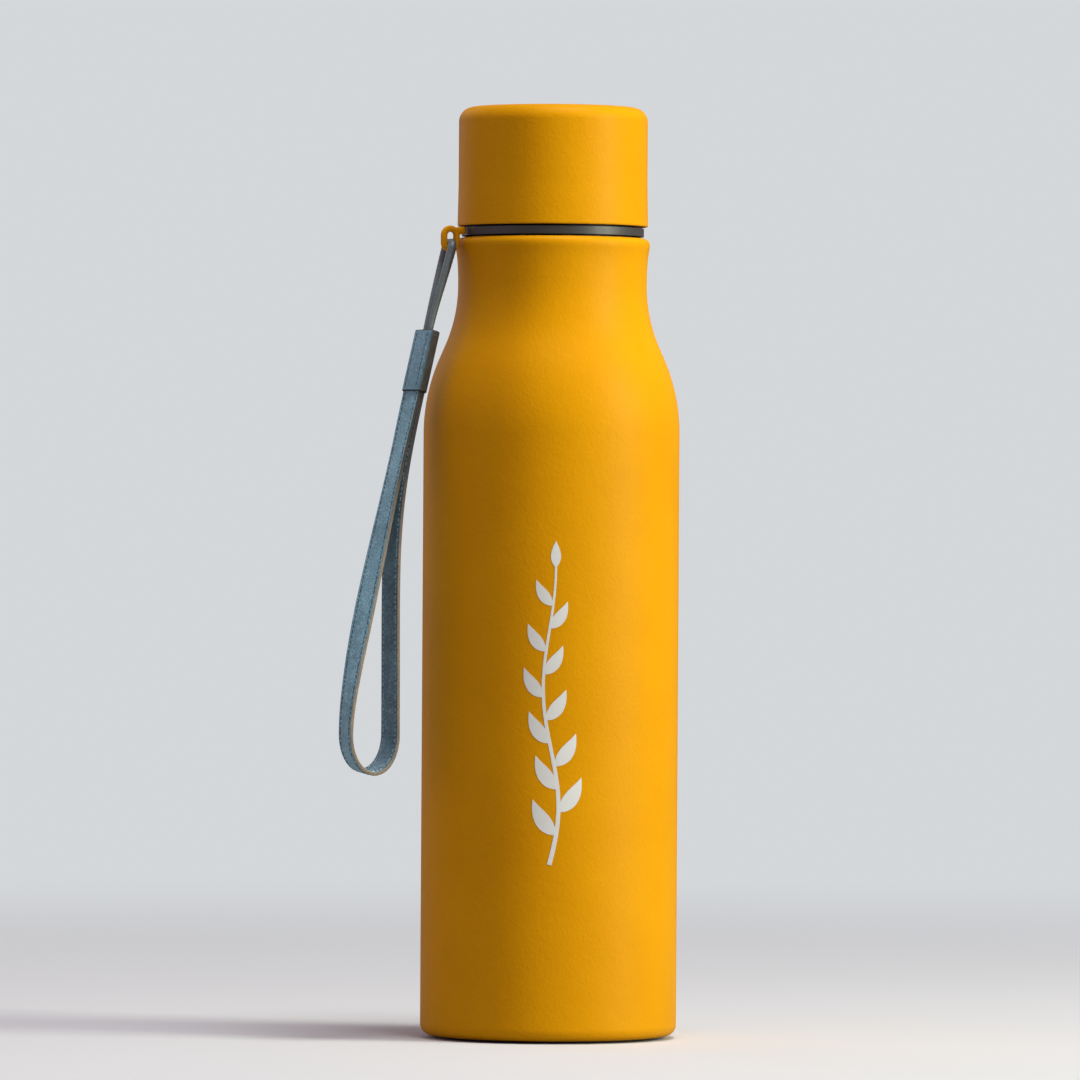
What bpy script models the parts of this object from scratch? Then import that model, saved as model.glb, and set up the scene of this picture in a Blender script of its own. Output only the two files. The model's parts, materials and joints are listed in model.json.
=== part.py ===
"""Kids' insulated steel water bottle: screw cap, swivel collar and wrist strap.

The bottle stands on the XY plane, its centre line on +Z, and its origin is the middle of
its resting face. The collar's eye and the wrist strap hang on the -X side, turned a
little towards -Y.
"""
import math

import bmesh
import bpy
from mathutils import Matrix, Vector
from mathutils.geometry import interpolate_bezier

MM = 0.001

# Overall sizes
BODY_RADIUS = 34.0 * MM
CAP_TOP = 246.8 * MM
SEGMENTS = 32                      # flats round every turned piece

# Outer steel shell
SHELL_WALL = 0.8 * MM
NECK_RADIUS = 25.06 * MM
LIP_RADIUS = 25.83 * MM
LIP_TOP = 212.1 * MM
LIP_ROUND = 1.2 * MM
LIP_FOOT = 208.6 * MM              # where the lip's bead runs out into the neck
LIP_HOLE_RADIUS = 22.1 * MM
SHOULDER_SLOPE = math.radians(23.4)
SHOULDER_HOLLOW = 40.0 * MM        # radius of the hollow curve under the neck
SHOULDER_ROUND = 50.0 * MM         # radius of the full curve above the body
SHOULDER_FOOT = 160.2 * MM
BASE_CORNER = 3.0 * MM
SHELL_BOTTOM = 0.6 * MM            # the steel stands clear of the table, on the pad
SHELL_HEM_RADIUS = 30.3 * MM

# Vacuum flask inside
LINER_WALL = 0.6 * MM
LINER_RADIUS = 31.0 * MM
LINER_NECK_RADIUS = 21.3 * MM      # also the root of the bottle's thread
LINER_SHOULDER_FOOT = 157.5 * MM
LINER_BOTTOM = 7.9 * MM
MOUTH_TOP = 231.0 * MM
INNER_BASE_BOTTOM = 8.1 * MM
INNER_BASE_RIM = 14.0 * MM
INNER_BASE_CORNER = 3.0 * MM
FOIL_RADIUS = 31.35 * MM
FOIL_THICKNESS = 0.2 * MM
FOIL_BOTTOM = 12.0 * MM
FOIL_TOP = 155.0 * MM

# Base
BASE_RADIUS = 29.9 * MM
BASE_WALL = 0.6 * MM
BASE_CENTRE_TOP = 3.6 * MM
BASE_BEND = 2.0 * MM
BASE_RIM_BOTTOM = 0.7 * MM
EVACUATION_HOLE = 1.2 * MM
PAD_THICKNESS = 2.7 * MM
PAD_EDGE_ROUND = 0.4 * MM
SEAL_POCKET_RADIUS = 4.0 * MM
SEAL_POCKET_FLOOR = 1.7 * MM
SEAL_RADIUS = 2.4 * MM
SEAL_HEIGHT = 0.75 * MM
GETTER_RADIUS = 4.0 * MM
GETTER_HEIGHT = 2.0 * MM
GETTER_OFFSET = 12.0 * MM

# Screw thread, right-handed, one start
THREAD_PITCH = 5.0 * MM
THREAD_DEPTH = 1.0 * MM
THREAD_CLEARANCE = 0.35 * MM
THREAD_LOW = 216.6 * MM
THREAD_HIGH = 228.6 * MM
THREAD_ROWS_PER_TURN = 6
THREAD_FADE = 2.5 * MM

# Cap
CAP_RADIUS = 25.09 * MM
CAP_SKIRT_RADIUS = 25.30 * MM
CAP_SKIRT_TAPER = 226.0 * MM       # below this height the skirt widens
CAP_BOTTOM = 215.2 * MM
CAP_WALL = 0.8 * MM
CAP_CORNER = 3.8 * MM
INSERT_RADIUS = 24.0 * MM
INSERT_BOTTOM = 215.6 * MM
INSERT_CEILING = 233.2 * MM
INSERT_TOP = 235.0 * MM
PLUG_RADIUS = 20.2 * MM
PLUG_WALL = 1.5 * MM
PLUG_BOTTOM = 222.0 * MM
PLUG_CORNER = 1.0 * MM
GASKET_INNER = 20.5 * MM
GASKET_OUTER = 22.3 * MM
GASKET_HEIGHT = 1.6 * MM
FOAM_RADIUS = 23.9 * MM

# Collar and its eye
COLLAR_INNER = 22.6 * MM
COLLAR_OUTER = 24.2 * MM
COLLAR_BOTTOM = 212.6 * MM
COLLAR_TOP = 214.7 * MM
COLLAR_EDGE = 0.3 * MM
EYE_BEARING = math.radians(20.0)   # from -X towards -Y
EYE_DISTANCE = 28.85 * MM
EYE_HEIGHT = 210.5 * MM             # middle of the loop's lower bend, where the cord turns
EYE_RISE = 1.95 * MM                # from the lower bend's middle to the upper one's
EYE_HALF_WIDTH = 2.55 * MM
EYE_BAND = 1.4 * MM
EYE_THICKNESS = 1.8 * MM
TANG_HEIGHT = 1.0 * MM
TANG_WIDTH = 1.8 * MM
TANG_CENTRE = 213.75 * MM
TANG_INNER = 23.4 * MM
TANG_OUTER = 27.2 * MM
BOSS_HEIGHT = 2.0 * MM             # thicker root of the tang, outside the collar
BOSS_WIDTH = 2.3 * MM
BOSS_INNER = 24.65 * MM
POCKET_HEIGHT = 1.6 * MM
POCKET_WIDTH = 2.4 * MM
POCKET_INNER = 23.1 * MM

# Wrist strap
STRAP_BEARING = math.radians(36.9)
HANG_ANGLE = math.radians(15.0)    # the strap hangs this far off the vertical
KEEPER_BEARING = math.radians(23.5)
KEEPER_DISTANCE = 35.84 * MM
KEEPER_TOP = 187.0 * MM
KEEPER_LENGTH = 16.8 * MM
KEEPER_WIDTH = 8.3 * MM
KEEPER_THICKNESS = 3.4 * MM
KEEPER_SIDE_WALL = 0.5 * MM
KEEPER_FACE_WALL = 0.45 * MM
KEEPER_CORNER = 0.5 * MM
PIVOT_ABOVE_KEEPER = 1.0 * MM
CORD_EYE_RADIUS = 1.0 * MM         # squeezed where it lies in the eye
CORD_RADIUS = 1.2 * MM             # just below the eye
CORD_END_RADIUS = 0.8 * MM         # where it enters the keeper
CORD_SPREAD = 2.45 * MM            # the cord's two strands pass the eye this far out
CORD_BEND = 1.5 * MM
CORD_CLOSE = 0.87 * MM             # half the distance between the strands at the keeper
CRIMP_WIDTH = 6.4 * MM
CRIMP_THICKNESS = 2.2 * MM
CRIMP_WALL = 0.5 * MM
CRIMP_LENGTH = 4.0 * MM
CRIMP_DEPTH = 1.2 * MM             # below the keeper's top
STRAP_WIDTH = 7.0 * MM
LAYER_THICKNESS = 0.38 * MM
LAYER_GAP = 0.18 * MM
STRAP_TUCK = 9.5 * MM              # the strap's ends run this far up into the keeper
STRAP_TWISTS = ((0.0, 0.0), (0.05, 0.0), (0.12, 4.0), (0.30, -8.0), (0.46, 10.0),
                (0.58, 2.0), (1.0, 0.0))   # share of its length, degrees
LOOP_DROP = 90.2 * MM              # keeper's foot down to where the end starts to turn
LOOP_OUT = 14.2 * MM
LOOP_RADIUS = 7.2 * MM             # half the loop's width there
LOOP_DEPTH = 9.8 * MM              # from there down to the end's lowest point
OUTER_REACH = (60.0 * MM, 12.0 * MM)   # how stiffly the outer leg leaves each end
INNER_REACH = (36.0 * MM, 50.0 * MM)


def clear_scene():
    for item in list(bpy.data.objects):
        bpy.data.objects.remove(item, do_unlink=True)


def add_material(name, colour, roughness, metallic=0.0):
    finish = bpy.data.materials.new(name)
    finish.use_nodes = True
    shader = finish.node_tree.nodes["Principled BSDF"]
    shader.inputs["Base Color"].default_value = (*colour, 1.0)
    shader.inputs["Roughness"].default_value = roughness
    shader.inputs["Metallic"].default_value = metallic
    finish.diffuse_color = (*colour, 1.0)
    return finish


def add_pivot(name, point, parent=None):
    """Puts an empty on a joint's axis."""
    pivot = bpy.data.objects.new(name, None)
    pivot.empty_display_size = 5.0 * MM
    pivot["point"] = point
    pivot.location = Vector(point)
    if parent is not None:
        pivot.parent = parent
        pivot.location -= Vector(parent["point"])
    bpy.context.collection.objects.link(pivot)
    return pivot


def add_piece(name, mesh_edit, finish, pivot=None, sharp_angle=35.0):
    """Closes the edit into an object whose origin is on its joint's axis."""
    if pivot is not None:
        bmesh.ops.translate(mesh_edit, verts=mesh_edit.verts, vec=-Vector(pivot["point"]))
    bmesh.ops.recalc_face_normals(mesh_edit, faces=mesh_edit.faces)
    mesh = bpy.data.meshes.new(name)
    mesh_edit.to_mesh(mesh)
    mesh_edit.free()
    mesh.shade_smooth()
    mesh.set_sharp_from_angle(angle=math.radians(sharp_angle))
    piece = bpy.data.objects.new(name, mesh)
    piece.parent = pivot
    mesh.materials.append(finish)
    bpy.context.collection.objects.link(piece)
    return piece


def arc(centre, radius, start, end, steps):
    """Points of an arc in the radius-height plane, angles in degrees."""
    points = []
    for step in range(steps + 1):
        angle = math.radians(start + (end - start) * step / steps)
        points.append((centre[0] + radius * math.cos(angle),
                       centre[1] + radius * math.sin(angle)))
    return points


def shoulder(neck_radius, body_radius, foot, inset=0.0, steps=4):
    """The S curve from neck to body, top to bottom, moved inwards by inset."""
    slope = math.degrees(SHOULDER_SLOPE)
    flare = 1.0 - math.cos(SHOULDER_SLOPE)
    fall = body_radius - neck_radius - (SHOULDER_HOLLOW + SHOULDER_ROUND) * flare
    rise = (SHOULDER_HOLLOW + SHOULDER_ROUND) * math.sin(SHOULDER_SLOPE)
    top = foot + rise + fall / math.tan(SHOULDER_SLOPE)
    hollow_centre = (neck_radius + SHOULDER_HOLLOW, top)
    round_centre = (body_radius - SHOULDER_ROUND, foot)
    hollow = arc(hollow_centre, SHOULDER_HOLLOW + inset, 180.0, 180.0 + slope, steps)
    full = arc(round_centre, SHOULDER_ROUND - inset, slope, 0.0, steps)
    return hollow + full


def turned(outline, closed):
    """Turns an outline of (radius, height) points once round the Z axis."""
    edit = bmesh.new()
    corners = [edit.verts.new((radius, 0.0, height)) for radius, height in outline]
    edges = [edit.edges.new(pair) for pair in zip(corners, corners[1:])]
    if closed:
        edges.append(edit.edges.new((corners[-1], corners[0])))
    bmesh.ops.spin(edit, geom=corners + edges, cent=(0, 0, 0), axis=(0, 0, 1),
                   angle=math.tau, steps=SEGMENTS, use_merge=True)
    bmesh.ops.remove_doubles(edit, verts=edit.verts, dist=0.002 * MM)
    return edit


def thread_heights():
    """The heights of the rows of points that carry the thread, bottom to top."""
    rows = round((THREAD_HIGH - THREAD_LOW) / THREAD_PITCH * THREAD_ROWS_PER_TURN)
    return [THREAD_LOW + (THREAD_HIGH - THREAD_LOW) * row / rows for row in range(rows + 1)]


def thread_wave(point):
    """0 in the thread's root to 1 on its crest, along a right-handed helix."""
    turn = math.atan2(point.y, point.x) / math.tau
    return 0.5 - 0.5 * math.cos(math.tau * (point.z / THREAD_PITCH - turn))


def thread_fade(height):
    """The thread grows out of the wall at both ends."""
    into = min(height - THREAD_LOW, THREAD_HIGH - height) / THREAD_FADE
    into = max(0.0, min(1.0, into))
    return into * into * (3.0 - 2.0 * into)


def cut_thread(edit, wall_radius, outward):
    """Moves the wall's points in or out into a thread."""
    for vert in edit.verts:
        radius = math.hypot(vert.co.x, vert.co.y)
        on_wall = abs(radius - wall_radius) < 0.01 * MM
        if not on_wall or not THREAD_LOW < vert.co.z < THREAD_HIGH:
            continue
        wave = thread_wave(vert.co)
        change = wave if outward else wave - 1.0
        grown = radius + THREAD_DEPTH * change * thread_fade(vert.co.z)
        vert.co.x *= grown / radius
        vert.co.y *= grown / radius


def swept(sections, closed):
    """Skins a row of equal rings of points; open rows get end faces."""
    edit = bmesh.new()
    rings = [[edit.verts.new(point) for point in section] for section in sections]
    count = len(rings[0])
    pairs = list(zip(rings, rings[1:]))
    if closed:
        pairs.append((rings[-1], rings[0]))
    for near, far in pairs:
        for index in range(count):
            following = (index + 1) % count
            edit.faces.new((near[index], near[following], far[following], far[index]))
    if not closed:
        edit.faces.new(rings[0])
        edit.faces.new(list(reversed(rings[-1])))
    return edit


def rounded_rectangle(width, height, corner, steps=3):
    """Points round a rectangle with rounded corners, about (0, 0)."""
    points = []
    for quarter, (across, up) in enumerate(((1, 1), (-1, 1), (-1, -1), (1, -1))):
        centre = (across * (width / 2 - corner), up * (height / 2 - corner))
        points += arc(centre, corner, 90.0 * quarter, 90.0 * (quarter + 1), steps)
    return points


def box(centre, along, across, up, size):
    """A block with its own three directions, as a cutter or a part to join on."""
    edit = bmesh.new()
    bmesh.ops.create_cube(edit, size=1.0)
    for vert in edit.verts:
        x, y, z = vert.co
        vert.co = centre + along * x * size[0] + across * y * size[1] + up * z * size[2]
    return edit


def add_tool(name, edit, pivot):
    """A hidden helper that a Boolean uses."""
    tool = add_piece(name, edit, add_material(name, (0.5, 0.5, 0.5), 0.5), pivot)
    tool.hide_render = True
    tool.display_type = "WIRE"
    return tool


def add_boolean(piece, operation, tool):
    step = piece.modifiers.new(operation.title(), "BOOLEAN")
    step.operation = operation
    step.solver = "EXACT"
    step.object = tool


def level(bearing):
    """The level direction pointing out from the bottle at a bearing."""
    return Vector((-math.cos(bearing), -math.sin(bearing), 0.0))


def sideways(bearing):
    """The level direction across a bearing."""
    return Vector((-math.sin(bearing), math.cos(bearing), 0.0))


UP = Vector((0.0, 0.0, 1.0))
EYE_PIVOT = level(EYE_BEARING) * EYE_DISTANCE + UP * EYE_HEIGHT
STRAP_OUT = level(STRAP_BEARING)
STRAP_ACROSS = sideways(STRAP_BEARING)
KEEPER_START = level(KEEPER_BEARING) * KEEPER_DISTANCE + UP * KEEPER_TOP
KEEPER_AXIS = STRAP_OUT * math.sin(HANG_ANGLE) - UP * math.cos(HANG_ANGLE)
KEEPER_FACE = STRAP_OUT * math.cos(HANG_ANGLE) + UP * math.sin(HANG_ANGLE)
KEEPER_FOOT = KEEPER_START + KEEPER_AXIS * KEEPER_LENGTH
KEEPER_PIVOT = KEEPER_START - KEEPER_AXIS * PIVOT_ABOVE_KEEPER


def outer_shell():
    lip = arc((LIP_RADIUS - LIP_ROUND, LIP_TOP - LIP_ROUND), LIP_ROUND, 90.0, 0.0, 3)
    bead_foot = LIP_FOOT + 1.2 * MM
    bead = [(LIP_RADIUS, bead_foot), (NECK_RADIUS + 0.25 * MM, LIP_FOOT)]
    outside = [(LIP_HOLE_RADIUS, LIP_TOP)] + lip + bead
    outside += shoulder(NECK_RADIUS, BODY_RADIUS, SHOULDER_FOOT)
    corner = (BODY_RADIUS - BASE_CORNER, SHELL_BOTTOM + BASE_CORNER)
    outside += arc(corner, BASE_CORNER, 0.0, -90.0, 3)
    outside += [(SHELL_HEM_RADIUS, SHELL_BOTTOM)]
    inside = [(SHELL_HEM_RADIUS, SHELL_BOTTOM + SHELL_WALL)]
    inside += arc(corner, BASE_CORNER - SHELL_WALL, -90.0, 0.0, 3)
    inside += reversed(shoulder(NECK_RADIUS, BODY_RADIUS, SHOULDER_FOOT, SHELL_WALL))
    inside += [(NECK_RADIUS - SHELL_WALL, LIP_TOP - SHELL_WALL)]
    inside += [(LIP_HOLE_RADIUS, LIP_TOP - SHELL_WALL)]
    finish = add_material("yellow_powder_coat", (0.76, 0.42, 0.004), 0.42)
    add_piece("outer_shell", turned(outside + inside, True), finish)


def inner_liner():
    rim = 0.15 * MM
    mouth = [(LINER_NECK_RADIUS - LINER_WALL + rim, MOUTH_TOP),
             (LINER_NECK_RADIUS - rim, MOUTH_TOP),
             (LINER_NECK_RADIUS, MOUTH_TOP - rim)]
    threaded = [(LINER_NECK_RADIUS, height) for height in reversed(thread_heights())]
    outside = shoulder(LINER_NECK_RADIUS, LINER_RADIUS, LINER_SHOULDER_FOOT)
    outside += [(LINER_RADIUS, LINER_BOTTOM)]
    inside = [(LINER_RADIUS - LINER_WALL, LINER_BOTTOM)]
    inside += reversed(shoulder(LINER_NECK_RADIUS, LINER_RADIUS, LINER_SHOULDER_FOOT,
                                LINER_WALL))
    inside += [(LINER_NECK_RADIUS - LINER_WALL, MOUTH_TOP - rim)]
    edit = turned(mouth + threaded + outside + inside, True)
    cut_thread(edit, LINER_NECK_RADIUS, outward=True)
    finish = add_material("liner_steel", (0.62, 0.61, 0.59), 0.28, 1.0)
    add_piece("inner_liner", edit, finish, sharp_angle=60.0)


def inner_base():
    radius = LINER_RADIUS - LINER_WALL - 0.3 * MM
    corner = (radius - INNER_BASE_CORNER, INNER_BASE_BOTTOM + INNER_BASE_CORNER)
    outline = [(0.0, INNER_BASE_BOTTOM + LINER_WALL)]
    outline += arc(corner, INNER_BASE_CORNER - LINER_WALL, -90.0, 0.0, 3)
    outline += [(radius - LINER_WALL, INNER_BASE_RIM), (radius, INNER_BASE_RIM)]
    outline += arc(corner, INNER_BASE_CORNER, 0.0, -90.0, 3)
    outline += [(0.0, INNER_BASE_BOTTOM)]
    finish = add_material("inner_base_steel", (0.60, 0.59, 0.57), 0.30, 1.0)
    add_piece("inner_base", turned(outline, False), finish)


def reflective_foil():
    outer = FOIL_RADIUS + FOIL_THICKNESS
    outline = [(FOIL_RADIUS, FOIL_TOP), (outer, FOIL_TOP),
               (outer, FOIL_BOTTOM), (FOIL_RADIUS, FOIL_BOTTOM)]
    finish = add_material("copper_foil", (0.72, 0.35, 0.20), 0.25, 1.0)
    add_piece("reflective_foil", turned(outline, True), finish)


def outer_base():
    bend = (BASE_RADIUS - BASE_BEND, BASE_CENTRE_TOP - BASE_BEND)
    outline = [(EVACUATION_HOLE, BASE_CENTRE_TOP)]
    outline += arc(bend, BASE_BEND, 90.0, 0.0, 3)
    outline += [(BASE_RADIUS, BASE_RIM_BOTTOM), (BASE_RADIUS - BASE_WALL, BASE_RIM_BOTTOM)]
    outline += arc(bend, BASE_BEND - BASE_WALL, 0.0, 90.0, 3)
    outline += [(EVACUATION_HOLE, BASE_CENTRE_TOP - BASE_WALL)]
    finish = add_material("base_steel", (0.55, 0.54, 0.52), 0.35, 1.0)
    add_piece("outer_base", turned(outline, True), finish)


def base_pad():
    gap = 0.3 * MM
    bend_round = BASE_BEND - BASE_WALL - gap
    bend = (BASE_RADIUS - BASE_BEND, BASE_CENTRE_TOP - BASE_BEND)
    edge = BASE_RADIUS - BASE_WALL - gap
    outline = [(0.0, SEAL_POCKET_FLOOR), (SEAL_POCKET_RADIUS, SEAL_POCKET_FLOOR),
               (SEAL_POCKET_RADIUS, PAD_THICKNESS)]
    outline += arc(bend, bend_round, 90.0, 0.0, 3)
    outline += [(edge, PAD_EDGE_ROUND), (edge - PAD_EDGE_ROUND, 0.0), (0.0, 0.0)]
    finish = add_material("pad_silicone", (0.10, 0.10, 0.10), 0.75)
    add_piece("base_pad", turned(outline, False), finish)


def vacuum_seal():
    top = BASE_CENTRE_TOP - BASE_WALL - 0.25 * MM
    dome = [(SEAL_RADIUS * math.cos(angle), top - SEAL_HEIGHT * math.sin(angle))
            for angle in (math.radians(22.5 * step) for step in range(5))]
    outline = [(0.0, top)] + dome[:-1] + [(0.0, top - SEAL_HEIGHT)]
    finish = add_material("seal_solder", (0.55, 0.55, 0.57), 0.4, 1.0)
    add_piece("vacuum_seal", turned(outline, False), finish)


def getter_pellet():
    edit = bmesh.new()
    bmesh.ops.create_cone(edit, cap_ends=True, segments=16, radius1=GETTER_RADIUS,
                          radius2=GETTER_RADIUS, depth=GETTER_HEIGHT)
    height = BASE_CENTRE_TOP + 0.3 * MM + GETTER_HEIGHT / 2
    bmesh.ops.translate(edit, verts=edit.verts, vec=(GETTER_OFFSET, 0.0, height))
    finish = add_material("getter_zirconium", (0.30, 0.30, 0.32), 0.7, 0.6)
    add_piece("getter_pellet", edit, finish)


def cap_cover(pivot):
    corner = (CAP_RADIUS - CAP_CORNER, CAP_TOP - CAP_CORNER)
    outline = [(0.0, CAP_TOP)]
    outline += arc(corner, CAP_CORNER, 90.0, 0.0, 5)
    outline += [(CAP_RADIUS, CAP_SKIRT_TAPER), (CAP_SKIRT_RADIUS, CAP_BOTTOM),
                (CAP_SKIRT_RADIUS - CAP_WALL, CAP_BOTTOM),
                (CAP_RADIUS - CAP_WALL, CAP_SKIRT_TAPER)]
    outline += arc(corner, CAP_CORNER - CAP_WALL, 0.0, 90.0, 5)
    outline += [(0.0, CAP_TOP - CAP_WALL)]
    finish = add_material("yellow_cap_coat", (0.77, 0.43, 0.005), 0.40)
    add_piece("cap_cover", turned(outline, False), finish, pivot)


def cap_insert(pivot):
    groove = LINER_NECK_RADIUS + THREAD_CLEARANCE + THREAD_DEPTH
    hollow = PLUG_RADIUS - PLUG_WALL
    floor = PLUG_BOTTOM + PLUG_WALL
    plug = (PLUG_RADIUS - PLUG_CORNER, PLUG_BOTTOM + PLUG_CORNER)
    outline = [(0.0, floor), (hollow - PLUG_CORNER, floor), (hollow, floor + PLUG_CORNER),
               (hollow, INSERT_TOP), (INSERT_RADIUS, INSERT_TOP),
               (INSERT_RADIUS, INSERT_BOTTOM), (groove + 0.25 * MM, INSERT_BOTTOM)]
    outline += [(groove, height) for height in thread_heights()]
    outline += [(groove, INSERT_CEILING), (PLUG_RADIUS, INSERT_CEILING)]
    outline += arc(plug, PLUG_CORNER, 0.0, -90.0, 2)
    outline += [(0.0, PLUG_BOTTOM)]
    edit = turned(outline, False)
    cut_thread(edit, groove, outward=False)
    finish = add_material("insert_polypropylene", (0.06, 0.06, 0.065), 0.5)
    add_piece("cap_insert", edit, finish, pivot, sharp_angle=60.0)


def cap_foam(pivot):
    gap = 0.3 * MM
    corner_round = CAP_CORNER - CAP_WALL - gap
    corner = (FOAM_RADIUS - corner_round, CAP_TOP - CAP_CORNER)
    hollow = PLUG_RADIUS - PLUG_WALL - gap
    floor = PLUG_BOTTOM + PLUG_WALL + gap
    outline = [(0.0, CAP_TOP - CAP_WALL - gap)]
    outline += arc(corner, corner_round, 90.0, 0.0, 3)
    outline += [(FOAM_RADIUS, INSERT_TOP + gap), (hollow, INSERT_TOP + gap),
                (hollow, floor + PLUG_CORNER), (hollow - PLUG_CORNER, floor), (0.0, floor)]
    finish = add_material("foam_white", (0.85, 0.84, 0.80), 0.95)
    add_piece("cap_foam", turned(outline, False), finish, pivot)


def cap_gasket(pivot):
    bottom = MOUTH_TOP + 0.3 * MM
    edge = 0.4 * MM
    middle = bottom + GASKET_HEIGHT / 2
    outline = [(GASKET_INNER, middle), (GASKET_INNER + edge, bottom + GASKET_HEIGHT),
               (GASKET_OUTER - edge, bottom + GASKET_HEIGHT), (GASKET_OUTER, middle),
               (GASKET_OUTER - edge, bottom), (GASKET_INNER + edge, bottom)]
    finish = add_material("gasket_silicone", (0.80, 0.80, 0.78), 0.5)
    add_piece("cap_gasket", turned(outline, True), finish, pivot)


def collar_ring(pivot):
    lower = COLLAR_OUTER + 0.05 * MM
    outline = [(COLLAR_INNER, COLLAR_TOP), (COLLAR_OUTER - COLLAR_EDGE, COLLAR_TOP),
               (COLLAR_OUTER, COLLAR_TOP - COLLAR_EDGE), (lower, COLLAR_BOTTOM + COLLAR_EDGE),
               (lower - COLLAR_EDGE, COLLAR_BOTTOM), (COLLAR_INNER, COLLAR_BOTTOM)]
    finish = add_material("collar_grey", (0.16, 0.16, 0.155), 0.35)
    ring = add_piece("collar_ring", turned(outline, True), finish, pivot)
    out = level(EYE_BEARING)
    depth = COLLAR_OUTER + 1.0 * MM - POCKET_INNER
    centre = out * (POCKET_INNER + depth / 2) + UP * TANG_CENTRE
    pocket = box(centre, out, sideways(EYE_BEARING), UP, (depth, POCKET_WIDTH, POCKET_HEIGHT))
    add_boolean(ring, "DIFFERENCE", add_tool("pocket_cutter", pocket, pivot))


def strap_eye(pivot):
    out = level(EYE_BEARING)
    across = sideways(EYE_BEARING)
    steps = 20
    sections = []
    for step in range(steps):
        angle = math.tau * (step + 0.5) / steps
        ray = out * math.cos(angle) + UP * math.sin(angle)
        middle = EYE_PIVOT + ray * (EYE_HALF_WIDTH - EYE_BAND / 2)
        if step < steps / 2:
            middle += UP * EYE_RISE
        outline = rounded_rectangle(EYE_BAND, EYE_THICKNESS, 0.3 * MM, steps=1)
        sections.append([middle + ray * x + across * y for x, y in outline])
    finish = add_material("eye_yellow", (0.80, 0.47, 0.02), 0.4)
    eye = add_piece("strap_eye", swept(sections, True), finish, pivot)
    for name, inner, width, height in (("tang", TANG_INNER, TANG_WIDTH, TANG_HEIGHT),
                                       ("boss", BOSS_INNER, BOSS_WIDTH, BOSS_HEIGHT)):
        centre = out * (inner + TANG_OUTER) / 2 + UP * TANG_CENTRE
        block = box(centre, out, across, UP, (TANG_OUTER - inner, width, height))
        add_boolean(eye, "UNION", add_tool(name, block, pivot))


def cord_path():
    """The cord's middle line: up one side, through the eye and down the other side."""
    across = sideways(EYE_BEARING)
    pull = (KEEPER_PIVOT - EYE_PIVOT).normalized()
    half = [EYE_PIVOT]
    for step in range(5):
        angle = math.radians(22.5 * step)
        out = CORD_SPREAD - CORD_BEND + CORD_BEND * math.sin(angle)
        down = CORD_BEND - CORD_BEND * math.cos(angle)
        half.append(EYE_PIVOT + pull * down + across * out)
    start = half[-1]
    end = KEEPER_PIVOT + STRAP_ACROSS * CORD_CLOSE
    for step in range(1, 7):
        part = step / 6
        eased = part * part * (3.0 - 2.0 * part)
        straight = start.lerp(EYE_PIVOT + across * CORD_SPREAD
                              + (KEEPER_PIVOT - EYE_PIVOT), part)
        half.append(straight.lerp(start.lerp(end, part), eased))
    return half


def tube(points, across, radii, sides=8):
    """A round cord along points that bend in one plane only, with a radius at each."""
    sections = []
    for index, point in enumerate(points):
        before = points[max(index - 1, 0)]
        after = points[min(index + 1, len(points) - 1)]
        run = (after - before).normalized()
        second = run.cross(across).normalized()
        first = second.cross(run).normalized()
        ring = []
        for side in range(sides):
            angle = math.tau * side / sides
            ray = first * math.cos(angle) + second * math.sin(angle)
            ring.append(point + ray * radii[index])
        sections.append(ring)
    return swept(sections, False)


def strap_cord(pivot):
    right = cord_path()
    across = sideways(EYE_BEARING)
    left = []
    for point in right:
        offset = (point - EYE_PIVOT).dot(across)
        middle = (KEEPER_PIVOT - EYE_PIVOT).dot(across)
        share = (point - EYE_PIVOT).dot(UP) / (KEEPER_PIVOT - EYE_PIVOT).dot(UP)
        left.append(point + across * 2.0 * (middle * share - offset))
    path = list(reversed(right)) + left[1:]
    radii = []
    for point in path:
        down = (EYE_PIVOT - point).dot(UP)
        share = down / (EYE_PIVOT - KEEPER_PIVOT).dot(UP)
        strand = CORD_RADIUS + (CORD_END_RADIUS - CORD_RADIUS) * share
        squeezed = CORD_EYE_RADIUS + (CORD_RADIUS - CORD_EYE_RADIUS) * down / CORD_BEND
        radii.append(min(strand, squeezed))
    bend_normal = across.cross((KEEPER_PIVOT - EYE_PIVOT).normalized())
    finish = add_material("cord_dark_grey", (0.045, 0.047, 0.045), 0.45)
    add_piece("strap_cord", tube(path, bend_normal, radii), finish, pivot)


def sleeve(start, length, width, thickness, side_wall, face_wall, corner):
    """A flat tube along the keeper, open at both ends."""
    outer = rounded_rectangle(width, thickness, corner)
    inner = rounded_rectangle(width - 2 * side_wall, thickness - 2 * face_wall, corner / 2)
    rings = []
    for outline, depth in ((outer, 0.0), (outer, length), (inner, length), (inner, 0.0)):
        centre = start + KEEPER_AXIS * depth
        rings.append([centre + STRAP_ACROSS * x + KEEPER_FACE * y for x, y in outline])
    return swept(rings, True)


def keeper_sleeve(pivot):
    edit = sleeve(KEEPER_START, KEEPER_LENGTH, KEEPER_WIDTH, KEEPER_THICKNESS,
                  KEEPER_SIDE_WALL, KEEPER_FACE_WALL, KEEPER_CORNER)
    finish = add_material("keeper_leather", (0.10, 0.15, 0.19), 0.5)
    add_piece("keeper_sleeve", edit, finish, pivot)


def cord_crimp(pivot):
    start = KEEPER_START + KEEPER_AXIS * CRIMP_DEPTH
    edit = sleeve(start, CRIMP_LENGTH, CRIMP_WIDTH, CRIMP_THICKNESS,
                  CRIMP_WALL, CRIMP_WALL, 0.5 * MM)
    finish = add_material("crimp_steel", (0.6, 0.6, 0.6), 0.3, 1.0)
    add_piece("cord_crimp", edit, finish, pivot)


def strap_point(out, down):
    """A point of the strap's plane, measured from the keeper's foot."""
    return KEEPER_FOOT + STRAP_OUT * out - UP * down


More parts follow.
